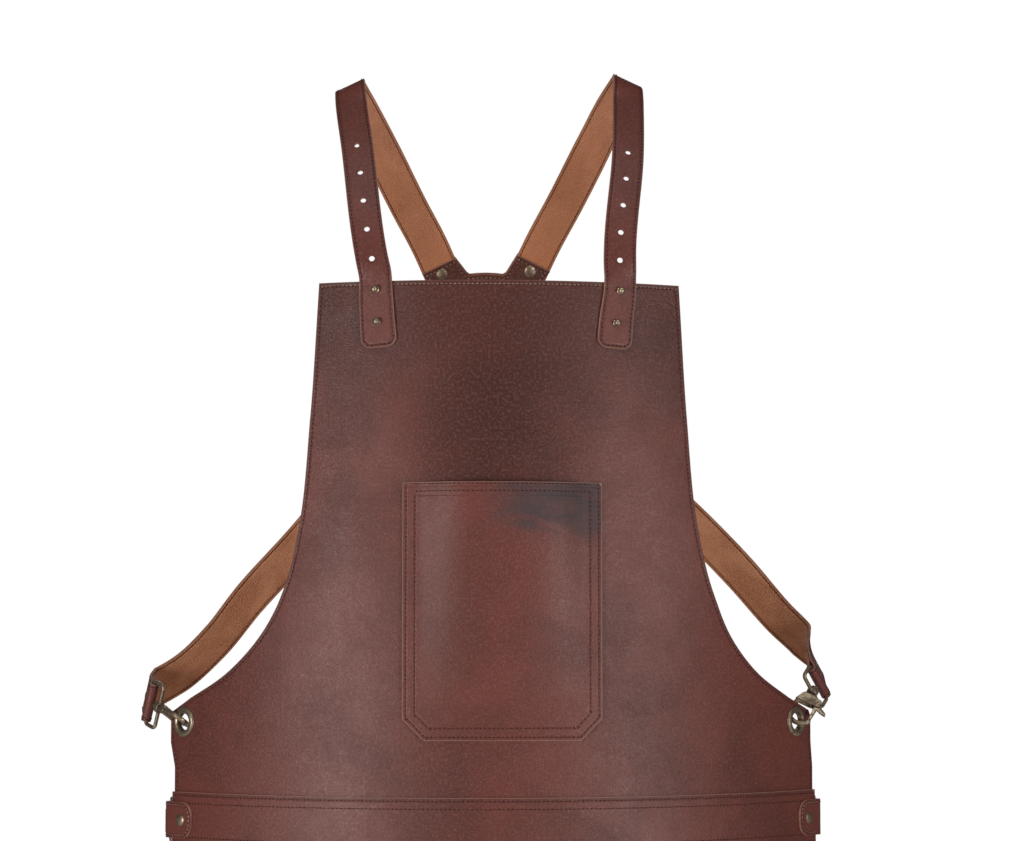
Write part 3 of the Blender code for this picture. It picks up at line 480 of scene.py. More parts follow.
@once
def raw_edge():
    """Cut edge: pale fibres in layers, stained by handling."""
    look = bpy.context.scene.apron_leather
    f = Finish("raw_edge")
    where = f.place()
    fibre = f.noise(where, 1400.0, 3.0, 0.7, 0.6)
    stained = f.ease(f.noise(where, 55.0, 4.0, 0.6), 0.40, 0.68)
    tone = f.mix(f.ease(fibre, 0.35, 0.70, 0.5, 0.0), look.raw_edge, look.hide_worn)
    tone = f.mix(stained * 0.70, tone, look.hide)
    return f.made_of(Base_Color=tone, Roughness=0.70 + fibre * 0.2,
                     Normal=f.bump(fibre, 0.0002, 0.7), Specular_IOR_Level=0.25)


@once
def thread(shade):
    """Waxed linen thread: a twist along each stitch and uneven dye."""
    look = bpy.context.scene.apron_leather
    f = Finish(shade + "_thread")
    where = f.place()
    twist = f.noise(where, 2600.0, 2.0, 0.5)
    dye = f.noise(where, 60.0, 3.0, 0.6)
    tone = look.light_thread if shade == "light" else look.dark_thread
    soiled = f.mix(f.ease(dye, 0.40, 0.70, 0.0, 0.75), tone, look.hide)
    return f.made_of(Base_Color=f.mix(f.ease(twist, 0.4, 0.7, 0.3, 0.0), soiled, look.hide_dark),
                     Roughness=0.55 + twist * 0.25, Normal=f.bump(twist, 0.0001, 0.6))


@once
def needle_hole():
    """Painted shade: the near-black that stands in for the shade inside a stitch hole."""
    f = Finish("needle_hole")
    depth = f.noise(f.place(), 900.0, 2.0)
    return f.made_of(Base_Color=f.mix(depth * 0.5, (0.010, 0.004, 0.003), (0.030, 0.010, 0.008)),
                     Roughness=0.85, Specular_IOR_Level=0.1)


@once
def antique_brass(polish=0.5):
    """Brass with brown tarnish left in the hollows, rubbed bright in patches and scratched."""
    look = bpy.context.scene.apron_metal
    f = Finish("antique_brass_%d" % round(polish * 100))
    where = f.place()
    bloom = f.noise(where, 130.0, 5.0, 0.65, 0.5)
    specks = f.noise(where, 1500.0, 3.0, 0.6)
    scratch = f.noise(f.stretched(where, (900.0, 900.0, 5200.0), 0.6), 1.0, 2.0, 0.5, 0.3)
    bright = f.ease(bloom + (specks - 0.5) * 0.25, 0.62 - 0.35 * polish, 0.86 - 0.35 * polish)
    tone = f.mix(bright, look.tarnish, look.brass)
    tone = f.mix(f.ease(scratch, 0.60, 0.74, 0.0, 0.35), tone, look.brass)
    shine = 0.46 - bright * 0.18 + specks * 0.12
    height = specks * 0.5 + scratch * 0.4
    return f.made_of(Base_Color=tone, Roughness=shine, Metallic=0.90 + bright * 0.10,
                     Normal=f.bump(height, 0.00005, 0.5))


@once
def studio_floor():
    f = Finish("studio_floor")
    tint = f.noise(f.place(), 1.2, 2.0)
    tone = bpy.context.scene.apron_stage.floor
    return f.made_of(Base_Color=f.mix(tint * 0.05, tone, (0.80, 0.80, 0.80)), Roughness=0.75)


# ---------------------------------------------------------------- curves

def smooth_path(points, step):
    """A smooth curve through (point, normal) pairs, with a point at least every step."""
    places = [Vector(point) for point, _ in points]
    spans = [(q - p).length for p, q in zip(places, places[1:])]
    slopes = [(q - p) / span for p, q, span in zip(places, places[1:], spans)]
    tangents = [slopes[0]]
    for (before, after), (a, b) in zip(zip(slopes, slopes[1:]), zip(spans, spans[1:])):
        tangents.append((before * b + after * a) / (a + b))
    tangents.append(slopes[-1])
    path = []
    for k, span in enumerate(spans):
        count = max(1, math.ceil(span / step))
        m, n, p, q = points[k][1], points[k + 1][1], places[k], places[k + 1]
        for i in range(count):
            t = i / count
            path.append((p * (2 * t ** 3 - 3 * t * t + 1) + tangents[k] * span * (t ** 3 - 2 * t * t + t)
                         + q * (3 * t * t - 2 * t ** 3) + tangents[k + 1] * span * (t ** 3 - t * t),
                         m.lerp(n, t).normalized()))
    path.append(tuple(points[-1]))
    return path


def smooth_line(points, step):
    return [tuple(p) for p, _ in smooth_path([(Vector(p), UP) for p in points], step)]


def bezier(a, control, b, steps):
    a, control, b = Vector(a), Vector(control), Vector(b)
    return [tuple(a * (1 - t) ** 2 + control * 2 * t * (1 - t) + b * t * t)
            for t in (k / steps for k in range(1, steps))]


def inset(outline, gap):
    """The closed outline moved inwards by gap, cut into lines at its sharp corners."""
    corners = [Vector(p) for p in outline]
    turn = sum(a.x * b.y - b.x * a.y for a, b in zip(corners, corners[1:] + corners[:1]))
    inward = 1 if turn > 0 else -1
    moved, sharp = [], []
    for before, here, after in zip(corners[-1:] + corners, corners, corners[1:] + corners[:1]):
        into, away = (here - before).normalized(), (after - here).normalized()
        normal = Vector((-into.y - away.y, into.x + away.x)).normalized() * inward
        reach = max(normal.dot(Vector((-away.y, away.x)) * inward), 0.5)
        moved.append(here + normal * gap / reach)
        sharp.append(into.dot(away) < math.cos(math.radians(32)))
    first = sharp.index(True) if any(sharp) else 0
    moved, sharp = moved[first:] + moved[:first], sharp[first:] + sharp[:first]
    lines = [[moved[0]]]
    for point, corner in zip(moved[1:] + moved[:1], sharp[1:] + sharp[:1]):
        lines[-1].append(point)
        if corner:
            lines.append([point])
    return [line for line in lines if len(line) > 1]


class Route:
    """A strap's middle line with the way that its outer side faces."""

    def __init__(self, path):
        self.points = [Vector(p) for p, _ in path]
        self.normals = [Vector(n) for _, n in path]
        steps = [(q - p).length for p, q in zip(self.points, self.points[1:])]
        self.marks = np.concatenate([[0.0], np.cumsum(steps)])
        self.length = float(self.marks[-1])

    def at(self, distance):
        k = int(np.clip(np.searchsorted(self.marks, distance) - 1, 0, len(self.points) - 2))
        t = (distance - self.marks[k]) / max(self.marks[k + 1] - self.marks[k], 1e-9)
        t = min(max(float(t), 0.0), 1.0)
        return (self.points[k].lerp(self.points[k + 1], t),
                self.normals[k].lerp(self.normals[k + 1], t).normalized())

    def place(self, across, distance, lift=0.0):
        point, normal = self.at(distance)
        ahead = self.at(distance + 0.0012)[0] - self.at(distance - 0.0012)[0]
        side = ahead.cross(normal).normalized()
        return point + side * across + side.cross(ahead).normalized() * lift

    def at_height(self, z):
        """Distance along the route where it first comes to that height."""
        for k, (p, q) in enumerate(zip(self.points, self.points[1:])):
            if (p.z - z) * (q.z - z) <= 0 and p.z != q.z:
                share = (z - p.z) / (q.z - p.z)
                return float(self.marks[k] + share * (self.marks[k + 1] - self.marks[k]))
        raise RuntimeError("the strap never comes to that height")


# ---------------------------------------------------------------- meshes

HOLE_CORNERS = 20


def mesh_of(bm, name):
    mesh = bpy.data.meshes.new(name)
    bm.to_mesh(mesh)
    bm.free()
    return mesh


def cut_hole(bm, centre, radius, cell):
    """Takes out the mesh round a hole and fills the ring between the mesh and the hole's circle."""
    def away(point):
        return (point.xy - Vector(centre)).length

    x, y = centre
    near = [face for face in bm.faces if away(face.calc_center_median()) < radius + cell * 0.9]
    bmesh.ops.delete(bm, geom=near, context="FACES")
    rim = [edge for edge in bm.edges if edge.is_boundary
           and away((edge.verts[0].co + edge.verts[1].co) / 2) < radius + 3 * cell]
    ring = [bm.verts.new((x + radius * math.cos(a), y + radius * math.sin(a), 0))
            for a in (2 * math.pi * k / HOLE_CORNERS for k in range(HOLE_CORNERS))]
    rim += [bm.edges.new((a, b)) for a, b in zip(ring, ring[1:] + ring[:1])]
    bmesh.ops.triangle_fill(bm, edges=rim, use_beauty=True, use_dissolve=False, normal=(0, 0, 1))


def sheet_mesh(name, outline, place, cell, holes=(), cell_v=None):
    """A flat cut piece as a fine mesh bent by place(u, v), with its own flat shape as UV map and the
    distance from its cut edge as an attribute."""
    bm = bmesh.new()
    bm.faces.new([bm.verts.new((u, v, 0)) for u, v in outline])
    for axis, gap in ((0, cell), (1, cell_v or cell)):
        low, high = min(p[axis] for p in outline), max(p[axis] for p in outline)
        count = max(1, round((high - low) / gap))
        for k in range(1, count):
            at, across = [0, 0, 0], [0, 0, 0]
            at[axis], across[axis] = low + (high - low) * k / count, 1
            parts = bm.verts[:] + bm.edges[:] + bm.faces[:]
            bmesh.ops.bisect_plane(bm, geom=parts, plane_co=at, plane_no=across, dist=gap * 0.08)
    for centre, radius in holes:
        cut_hole(bm, centre, radius, min(cell, cell_v or cell))
    loose = [v for v in bm.verts if not v.link_faces]
    bmesh.ops.delete(bm, geom=loose, context="VERTS")
    for face in bm.faces:
        if face.normal.z < 0:
            face.normal_flip()
    layer = bm.loops.layers.uv.new("cut")
    for face in bm.faces:
        for loop in face.loops:
            loop[layer].uv = loop.vert.co.xy
    flat = np.array([v.co.xy for v in bm.verts])
    corners = np.array(outline)
    near = np.full(len(flat), 1.0)
    for a, b in zip(corners, np.roll(corners, -1, axis=0)):
        run = b - a
        share = np.clip(((flat - a) @ run) / max(run @ run, 1e-12), 0, 1)
        near = np.minimum(near, np.linalg.norm(flat - a - share[:, None] * run, axis=1))
    for vert in bm.verts:
        vert.co = place(vert.co.x, vert.co.y)
    mesh = mesh_of(bm, name)
    mesh.attributes.new("edge", "FLOAT", "POINT").data.foreach_set("value", near.astype(np.float32))
    return mesh


def show(name, mesh, *materials):
    obj = bpy.data.objects.new(name, mesh)
    bpy.context.scene.collection.objects.link(obj)
    for material in materials:
        mesh.materials.append(material)
    mesh.shade_smooth()
    return obj


def settle(obj):
    """Turns the piece, as its modifiers leave it, into a plain mesh."""
    graph = bpy.context.evaluated_depsgraph_get()
    mesh = bpy.data.meshes.new_from_object(obj.evaluated_get(graph))
    obj.modifiers.clear()
    mesh.transform(obj.matrix_world)
    obj.matrix_world = Matrix.Identity(4)
    obj.data = mesh
    return obj


def leather(name, outline, place, grain, holes=(), thickness=LEATHER, cell=None, cell_v=None,
            flip=False, inner=None):
    """A cut piece of leather: grain outside, flesh inside, raw edge all round."""
    cell = cell or bpy.context.scene.apron_leather.cell
    mesh = sheet_mesh(name, outline, place, cell, holes, cell_v)
    if flip:
        mesh.flip_normals()
    obj = show(name, mesh, grain, inner or flesh_side(), raw_edge())
    wall = obj.modifiers.new("wall", "SOLIDIFY")
    wall.thickness = thickness
    wall.offset = 0
    wall.use_even_offset = True
    wall.material_offset = 1
    wall.material_offset_rim = 2
    settle(obj)
    obj.data.set_sharp_from_angle(angle=math.radians(50))
    return obj


def fit(piece, body, slot, *nodes):
    """The piece moves with its body and stands for these nodes; the slot is not used."""
    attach(piece, body)
    if nodes:
        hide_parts(*nodes)
    return piece


# ---------------------------------------------------------------- node-made repeats

def group(name, sockets):
    """A new geometry tree, and what it is given by name."""
    tree = bpy.data.node_groups.new(name, "GeometryNodeTree")
    tree.interface.new_socket("Geometry", in_out="INPUT", socket_type="NodeSocketGeometry")
    tree.interface.new_socket("Geometry", in_out="OUTPUT", socket_type="NodeSocketGeometry")
    for label, kind in sockets:
        tree.interface.new_socket(label, in_out="INPUT", socket_type="NodeSocket" + kind)
    t = Tree(tree)
    entry = t.nodes.nodes.new("NodeGroupInput")
    return t, {socket.name: Value(t, socket) for socket in entry.outputs if socket.name}


def stitch_tree():
    """Stitches along every line of a guide: evenly spaced, each one a little different."""
    t, given = group("stitch_rows", (
        ("Pitch", "Float"), ("Thread", "Float"), ("Reach", "Float"), ("Shift", "Float"),
        ("Sides", "Int"), ("Seed", "Int"), ("Finish", "Material")))
    curve = t.node("GeometryNodeMeshToCurve", None, {"Mesh": given["Geometry"]})
    rows = t.node("GeometryNodeResampleCurve", {"mode": "LENGTH"},
                  {"Curve": curve, "Length": given["Pitch"]})
    stitch = t.node("GeometryNodeMeshUVSphere", None,
                    {"Segments": given["Sides"], "Rings": given["Sides"], "Radius": 0.5})
    wobble = t.node("FunctionNodeRandomValue", {"data_type": "FLOAT_VECTOR"},
                    {"Min": (0.86, 0.86, 0.76), "Max": (1.10, 1.10, 0.86), "Seed": given["Seed"]})
    length = t.node("ShaderNodeCombineXYZ", None, {"X": given["Thread"], "Y": given["Thread"],
                                                   "Z": given["Reach"]})
    scale = t.node("ShaderNodeVectorMath", {"operation": "MULTIPLY"}, {0: wobble, 1: length})
    tangent = t.node("GeometryNodeInputTangent")
    turn = t.node("FunctionNodeAlignRotationToVector", {"axis": "Z"}, {"Vector": tangent})
    onward = t.node("ShaderNodeVectorMath", {"operation": "SCALE"},
                    {0: tangent, "Scale": given["Shift"]})
    shifted = t.node("GeometryNodeSetPosition", None, {"Geometry": rows, "Offset": onward})
    placed = t.node("GeometryNodeInstanceOnPoints", None,
                    {"Points": shifted, "Instance": stitch, "Rotation": turn, "Scale": scale})
    return close_tree(t, placed, given["Finish"])


def fastener_tree():
    """A turned fastener on every guide point, facing the way that the point says."""
    t, given = group("set_fasteners", (("Fastener", "Object"), ("Finish", "Material")))
    turned = t.node("GeometryNodeObjectInfo", None, {"Object": given["Fastener"]}, out="Geometry")
    facing = t.node("GeometryNodeInputNamedAttribute", {"data_type": "FLOAT_VECTOR"},
                    {"Name": "facing"})
    size_of = t.node("GeometryNodeInputNamedAttribute", {"data_type": "FLOAT"}, {"Name": "size"})
    turn = t.node("FunctionNodeAlignRotationToVector", {"axis": "Z"}, {"Vector": facing})
    placed = t.node("GeometryNodeInstanceOnPoints", None,
                    {"Points": given["Geometry"], "Instance": turned, "Rotation": turn,
                     "Scale": size_of})
    return close_tree(t, placed, given["Finish"])


def close_tree(t, placed, finish):
    real = t.node("GeometryNodeRealizeInstances", None, {"Geometry": placed})
    smooth = t.node("GeometryNodeSetShadeSmooth", None, {"Geometry": real})
    coated = t.node("GeometryNodeSetMaterial", None, {"Geometry": smooth, "Material": finish})
    t.nodes.links.new(coated.socket, t.nodes.nodes.new("NodeGroupOutput").inputs[0])
    return t.nodes


def grown(name, guide, tree, **inputs):
    """The guide mesh as the tree makes it, as a plain mesh."""
    obj = bpy.data.objects.new(name, guide)
    bpy.context.scene.collection.objects.link(obj)
    made = obj.modifiers.new("made", "NODES")
    made.node_group = tree
    for item in tree.interface.items_tree:
        if item.in_out == "INPUT" and item.name in inputs:
            made[item.identifier] = inputs[item.name]
    settle(obj)
    if not obj.data.polygons:
        raise RuntimeError(name + " came out empty")
    return obj


TREES = {}


def tree_of(build):
    if build not in TREES:
        TREES[build] = build()
    return TREES[build]


def stitching(name, runs, shade, slot="hide", seed=1):
    """Stitches along flat lines on a sheet. Each run is (lines, place, lift)."""
    look = bpy.context.scene.apron_leather
    bm = bmesh.new()
    for lines, place, lift in runs:
        for line in lines:
            dots = [tuple(line[0])]
            for a, b in zip(line, line[1:]):
                count = max(1, math.ceil((Vector(b) - Vector(a)).length / 0.003))
                dots += [tuple(Vector(a).lerp(Vector(b), k / count)) for k in range(1, count + 1)]
            verts = [bm.verts.new(place(u, v, lift)) for u, v in dots]
            for a, b in zip(verts, verts[1:]):
                bm.edges.new((a, b))
    guide = mesh_of(bm, name + "_guide")
    # Painted shade: dark dots between the stitches stand in for the shade inside the needle holes.
    holes = grown(name + "_holes", guide.copy(), tree_of(stitch_tree), Pitch=look.pitch,
                  Thread=1.5 * look.thread, Reach=1.6 * look.thread, Shift=look.pitch / 2, Sides=5,
                  Seed=seed, Finish=needle_hole())
    fit(holes, "apron", slot)
    obj = grown(name, guide, tree_of(stitch_tree), Pitch=look.pitch, Thread=look.thread,
                Reach=look.pitch, Shift=0.0, Sides=6, Seed=seed, Finish=thread(shade))
    return fit(obj, "apron", slot)


def both_faces(lines, place, thickness=LEATHER):
    return [(lines, place, thickness / 2), (lines, place, -thickness / 2)]


def turned_profile(name, profile, closed=False):
    """A profile of (radius, height) points, top to bottom on its outer side, turned round Z."""
    mesh = bpy.data.meshes.new(name)
    edges = [(k, k + 1) for k in range(len(profile) - 1)]
    if closed:
        edges.append((len(profile) - 1, 0))
    mesh.from_pydata([(r, 0, z) for r, z in profile], edges, [])
    obj = show(name, mesh)
    screw = obj.modifiers.new("turn", "SCREW")
    screw.axis = "Z"
    screw.steps = screw.render_steps = bpy.context.scene.apron_metal.turns
    screw.use_merge_vertices = True
    screw.merge_threshold = 0.00001
    return settle(obj)


def fasteners(name, profile, places, nodes, polish=0.5, closed=False):
    """The turned profile set at each (point, facing, size)."""
    pattern = turned_profile(name + "_pattern", profile, closed)
    guide = bpy.data.meshes.new(name + "_guide")
    guide.from_pydata([tuple(point) for point, _, _ in places], [], [])
    facing = guide.attributes.new("facing", "FLOAT_VECTOR", "POINT")
    facing.data.foreach_set("vector", [c for _, way, _ in places for c in way])
    sizes = guide.attributes.new("size", "FLOAT", "POINT")
    sizes.data.foreach_set("value", [s for _, _, s in places])
    obj = grown(name, guide, tree_of(fastener_tree), Fastener=pattern,
                Finish=antique_brass(polish))
    bpy.data.objects.remove(pattern)
    obj.data.set_sharp_from_angle(angle=math.radians(60))
    return fit(obj, "apron", "antique_brass", *nodes)


# ---------------------------------------------------------------- shapes shared by pieces

def clamped(share):
    return min(max(share, 0), 1)


def relief(s, z):
    """How far worn leather stands off the plain cylinder: soft waves that die out at the hardware."""
    chest = math.sin(21 * s + 9 * z + 0.7) * math.sin(13 * z + 0.4) + 0.5 * math.sin(34 * s - 17 * z)
    calm = clamped((0.29 - abs(s)) / 0.10) * clamped((BIB_TOP - 0.07 - z) / 0.10)
    calm *= clamped((z - BAND_TOP - 0.004) / 0.08)
    off_pocket = max(abs(s - POCKET_S) - POCKET_HALF, z - POCKET_TOP, POCKET_LOW - z)
    pocket = clamped(off_pocket / 0.05)
    hang = clamped((BAND_LOW - 0.01 - z) / (BAND_LOW - HEM_Z)) ** 1.4
    skirt = math.sin(19 * s + 1.2) + 0.45 * math.sin(41 * s + 4 * z)
    return 0.0011 * chest * calm * pocket + 0.0042 * skirt * hang


def wrapped(s, z, lift=0.0):
    """The point at s round the wrap and at height z, lifted outwards from the bib's front."""
    angle = s / WRAP_R
    reach = WRAP_R + lift + relief(s, z)
    return Vector((reach * math.sin(angle), AXIS_Y - reach * math.cos(angle), z))


def outward(s):
    return Vector((math.sin(s / WRAP_R), -math.cos(s / WRAP_R), 0))


def edge_tangent(s):
    return Vector((math.cos(s / WRAP_R), math.sin(s / WRAP_R), 0))


def layer(middle):
    """A place function for a sheet whose middle lies that far outside the bib's front."""
    return lambda s, z, lift=0.0: wrapped(s, z, middle + lift)


def back_point(x, z, lift=0.0):
    slope = 2 * BACK_CURVE * max(z - BACK_FLAT_Z, 0)
    normal = Vector((0, 1, slope)).normalized()
    y = BACK_Y - BACK_CURVE * max(z - BACK_FLAT_Z, 0) ** 2
    return Vector((x, y, z)) + normal * lift, normal


def back_run(rivet_at, away, start, stop):
    """Path points on the back, from start to stop along a direction through a rivet."""
    count = round(abs(stop - start) / BACK_STEP)
    reach = [start + (stop - start) * k / count for k in range(count + 1)]
    return [back_point(rivet_at[0] + away[0] * r, rivet_at[1] + away[1] * r) for r in reach]


def hook_frame(name, side):
    """Eyelet centre, the hook's axis, the panel's normal there, and the direction across both."""
    s = EYELET_S[name]
    centre = wrapped(s, EYELET_Z, -0.0009)
    lift = HOOK_LIFT[name]
    axis = edge_tangent(s) * side * math.cos(lift) + UP * math.sin(lift)
    normal = outward(s)
    return centre, axis, normal, axis.cross(normal) * side


def fold_path(bar, travel, face, flap, main, radius, closing):
    """A strap that arrives against travel on one side of a bar, folds round it and lies back."""
    def at(t, f, normal):
        return bar + travel * t + face * f, normal

    run = [at(main, -FOLD_SPACING / 2, -face), at(closing, -FOLD_SPACING / 2, -face)]
    for k in range(25):
        angle = math.radians(-75 + 6.25 * k)
        run.append(at(-radius * math.cos(angle), radius * math.sin(angle),
                      (face * math.sin(angle) - travel * math.cos(angle)).normalized()))
    return run + [at(closing, FOLD_SPACING / 2, face), at(flap, FOLD_SPACING / 2, face)]


def eased(share):
    share = clamped(share)
    return share * share * (3 - 2 * share)


def strap_outline(length, half_width, start, end, step=0.012):
    """A strap's flat cut: half_width(share of length) on each side, with rounded corners."""
    right = []
    for k in range(7):
        angle = math.pi / 2 * k / 6
        right.append((half_width(0) - start * (1 - math.sin(angle)), start * (1 - math.cos(angle))))
    count = math.ceil((length - start - end) / step)
    right += [(half_width((start + (length - start - end) * k / count) / length),
               start + (length - start - end) * k / count) for k in range(1, count)]
    for k in range(7):
        angle = math.pi / 2 * k / 6
        right.append((half_width(1) - end * (1 - math.cos(angle)), length - end * (1 - math.sin(angle))))
    return right + [(-u, v) for u, v in reversed(right)]


def shoulder_route(name, side):
    ridge_x, ridge_z = RIDGE[name]
    ridge_up = Vector((side * math.sin(RIDGE_SLOPE), 0, math.cos(RIDGE_SLOPE)))
    (end_x, low_x, high_x), free = STRAP_FRONT[name]
    lift = GAP + LEATHER / 2
    front = []
    for x, z in ((end_x, STRAP_END_Z), (low_x, STUD_Z[1]), (high_x, STUD_Z[0]),
                 (high_x * 1.004, BIB_TOP + 0.004)):
        s = WRAP_R * math.asin(x / WRAP_R)
        front.append((wrapped(s, z, lift), outward(s)))
    leave = front[-1][0]
    rise, run = ridge_z - leave.z, -0.008 - leave.y
    for x, z in free:
        share = (z - leave.z) / rise
        slope = SHOULDER_BEND * run / rise * share ** (SHOULDER_BEND - 1)
        front.append((Vector((x, leave.y + run * share ** SHOULDER_BEND, z)),
                      Vector((side * 0.25 * share, -1, slope)).normalized()))
    front.append((Vector((ridge_x, -RIDGE_HALF - 0.006, ridge_z - 0.0035)),
                  ridge_up + Vector((0, -0.55, 0))))
    front.append((Vector((ridge_x, -RIDGE_HALF, ridge_z)), ridge_up))
    back = [(Vector((ridge_x, RIDGE_HALF, ridge_z)), ridge_up)]
    tilts = (Vector((side * 0.28, 0.40, 0.85)), Vector((side * 0.18, 0.62, 0.76)),
             Vector((side * 0.08, 0.82, 0.57)))
    back += [(Vector(p), tilt.normalized()) for p, tilt in zip(STRAP_BACK[name], tilts)]
    back += back_run(UPPER_RIVET[name], UPPER_AWAY[name], 0.022, -STRAP_IN_YOKE)
    return Route(smooth_path(front, 0.004) + smooth_path(back, 0.004))


def side_route(name, side):
    """The route, with the strap rivet's place and facing."""
    centre, axis, normal, _ = hook_frame(name, side)
    bar = centre + axis * EYE_FAR
    travel = axis * math.cos(STRAP_TURN) - normal * math.sin(STRAP_TURN)
    face = normal * math.cos(STRAP_TURN) + axis * math.sin(STRAP_TURN)
    fold = fold_path(bar, travel, -face, 0.029, 0.031, FOLD_R, 0.012)
    start = back_run(LOWER_RIVET[name], LOWER_AWAY[name], -STRAP_IN_YOKE, 0.021)
    middle = [(Vector((x, y, z)), Vector((x / 0.30 ** 2, (y - 0.04) / 0.15 ** 2, 0)).normalized())
              for x, y, z in SIDE_ROUTE[name]]
    path = smooth_path(start + middle + fold[:1], 0.004) + fold[1:]
    return Route(path), bar + travel * 0.020, face


def yoke_outline():
    def corners(at, away):
        end = (at[0] + away[0] * YOKE_ARM_END, at[1] + away[1] * YOKE_ARM_END)
        across = (away[1] * YOKE_ARM_HALF, -away[0] * YOKE_ARM_HALF)
        return (end[0] - across[0], end[1] - across[1]), (end[0] + across[0], end[1] + across[1])

    ul_out, ul_in = corners(UPPER_RIVET["left"], UPPER_AWAY["left"])
    ur_in, ur_out = corners(UPPER_RIVET["right"], UPPER_AWAY["right"])
    lr_out, lr_in = corners(LOWER_RIVET["right"], LOWER_AWAY["right"])
    ll_in, ll_out = corners(LOWER_RIVET["left"], LOWER_AWAY["left"])
    outline = [ul_out, ul_in] + YOKE_NOTCH
    outline += [ur_in, ur_out] + bezier(ur_out, (0.022, -0.190), lr_out, 14)
    outline += [lr_out, lr_in] + bezier(lr_in, (0.001, -0.222), ll_in, 14)
    outline += [ll_in, ll_out] + bezier(ll_out, (-0.020, -0.190), ul_out, 14)
    return outline


def tab_route(name, side):
    """The tab's route round the side edge, and what its ring and rivet need."""
    outer, inner = 1.5 * LEATHER + 2 * GAP, -2.5 * LEATHER - 2 * GAP
    middle = (outer + inner) / 2
    edge = side * WAIST_HALF + WAIST_SHIFT
    turn_s = edge + side * 0.0040
    tip_s = edge - side * (TAB_LEAF - 0.0095)
    shares = [k / 8 for k in range(9)]
    path = [(wrapped(tip_s + (turn_s - tip_s) * k, TAB_Z, outer), outward(tip_s + (turn_s - tip_s) * k))
            for k in shares]
    centre, out, tangent = wrapped(turn_s, TAB_Z, middle), outward(turn_s), edge_tangent(turn_s) * side
    for k in range(1, 16):
        angle = math.pi * k / 16
        ray = out * math.cos(angle) + tangent * math.sin(angle)
        path.append((centre + ray * (outer - inner) / 2, ray))
    path += [(wrapped(turn_s + (tip_s - turn_s) * k, TAB_Z, inner),
              -outward(turn_s + (tip_s - turn_s) * k)) for k in shares]
    rivet_s = edge - side * 0.0135
    away = Vector((side * RING_LEAN[name], 1, 0)).normalized()
    return {"route": Route(path), "rivet": wrapped(rivet_s, TAB_Z, middle), "facing": outward(rivet_s),
            "reach": (outer - inner) / 2 + LEATHER / 2, "bar": wrapped(turn_s, RING_Z, middle),
            "away": away}


def waist_route():
    """The slack strap's route, and its two rivets as (place, facing)."""
    folds, rivets = {}, {}
    for name, side in SIDES:
        tab = tab_route(name, side)
        away, bow = tab["away"], tab["bar"] + tab["away"] * RING_DEPTH
        face = Vector((side, 0, 0))
        face = (face - away * face.dot(away)).normalized()
        folds[name] = fold_path(bow, away, -face, 0.032, 0.027, WAIST_LOOP_R, 0.014)
        rivets[name] = (bow + away * 0.021, face)
    right, left = folds["right"][::-1], folds["left"]
    middle = [(Vector((x, y, z)), Vector((x * 2.6, 0.05, -1 + abs(x) * 3.2)).normalized())
              for x, y, z in WAIST_ROUTE]
    path = right[:-1] + smooth_path([right[-1]] + middle + [left[0]], 0.006) + left[1:]
    return Route(path), rivets


# ---------------------------------------------------------------- operators: leather

class APRON_OT_bib(bpy.types.Operator):
    """Builds the bib with its armholes and edge stitching"""
    bl_idname = "apron.bib"
    bl_label = "Bib"

    def execute(self, context):
        def edge(side):
            points = []
            for half, z in smooth_line(ARMHOLE, 0.006):
                shift = (CHEST_SHIFT * clamped((z - SHIFT_Z) / CHEST_EASE)
                         + EAR_SHIFT * clamped((SHIFT_Z - z) / EAR_EASE))
                points.append((side * half + shift, z))
            waist = side * PANEL_HALF + WAIST_SHIFT
            ear = side * EAR_HALF + EAR_SHIFT
            return points + [(ear, EAR_HIGH_Z), (ear, EAR_LOW_Z),
                             (waist, EAR_FOOT_Z), (waist, SEAM_Z + 0.0005)]

        outline = edge(-1) + edge(1)[::-1]
        place = layer(-LEATHER / 2)
        holes = [((s, EYELET_Z), EYELET_CUT_R) for s in EYELET_S.values()]
        bib = leather("bib", outline, place, grain_leather("bib"), holes)
        fit(bib, "apron", "hide", "bib_panel")
        lines = inset(outline, STITCH_IN)
        top = [line for line in lines if min(p[1] for p in line) > BIB_TOP - 0.01]
        sides = [line for line in lines if max(p[1] for p in line) > SEAM_Z + 0.03 and line not in top]
        stitching("bib_top_stitching", both_faces(top, place), "light", seed=3)
        stitching("bib_side_stitching", both_faces(sides, place), "dark", seed=4)
        return {"FINISHED"}


class APRON_OT_skirt(bpy.types.Operator):
    """Builds the skirt below the waistband, with rounded lower corners"""
    bl_idname = "apron.skirt"
    bl_label = "Skirt"

    def execute(self, context):
        half = PANEL_HALF
        corner = [(-half + WAIST_SHIFT + HEM_CORNER * (1 - math.cos(a)),
                   HEM_Z + HEM_CORNER * (1 - math.sin(a)))
                  for a in (math.pi / 2 * k / 12 for k in range(13))]
        left = [(-half + WAIST_SHIFT, SEAM_Z - 0.0005)] + corner
        outline = left + [(2 * WAIST_SHIFT - s, z) for s, z in reversed(left)]
        place = layer(-LEATHER / 2)
        skirt = leather("skirt", outline, place, grain_leather())
        fit(skirt, "apron", "hide", "skirt_panel")
        lines = [line for line in inset(outline, STITCH_IN) if min(p[1] for p in line) < SEAM_Z - 0.02]
        stitching("skirt_stitching", both_faces(lines, place), "dark", seed=5)
        return {"FINISHED"}


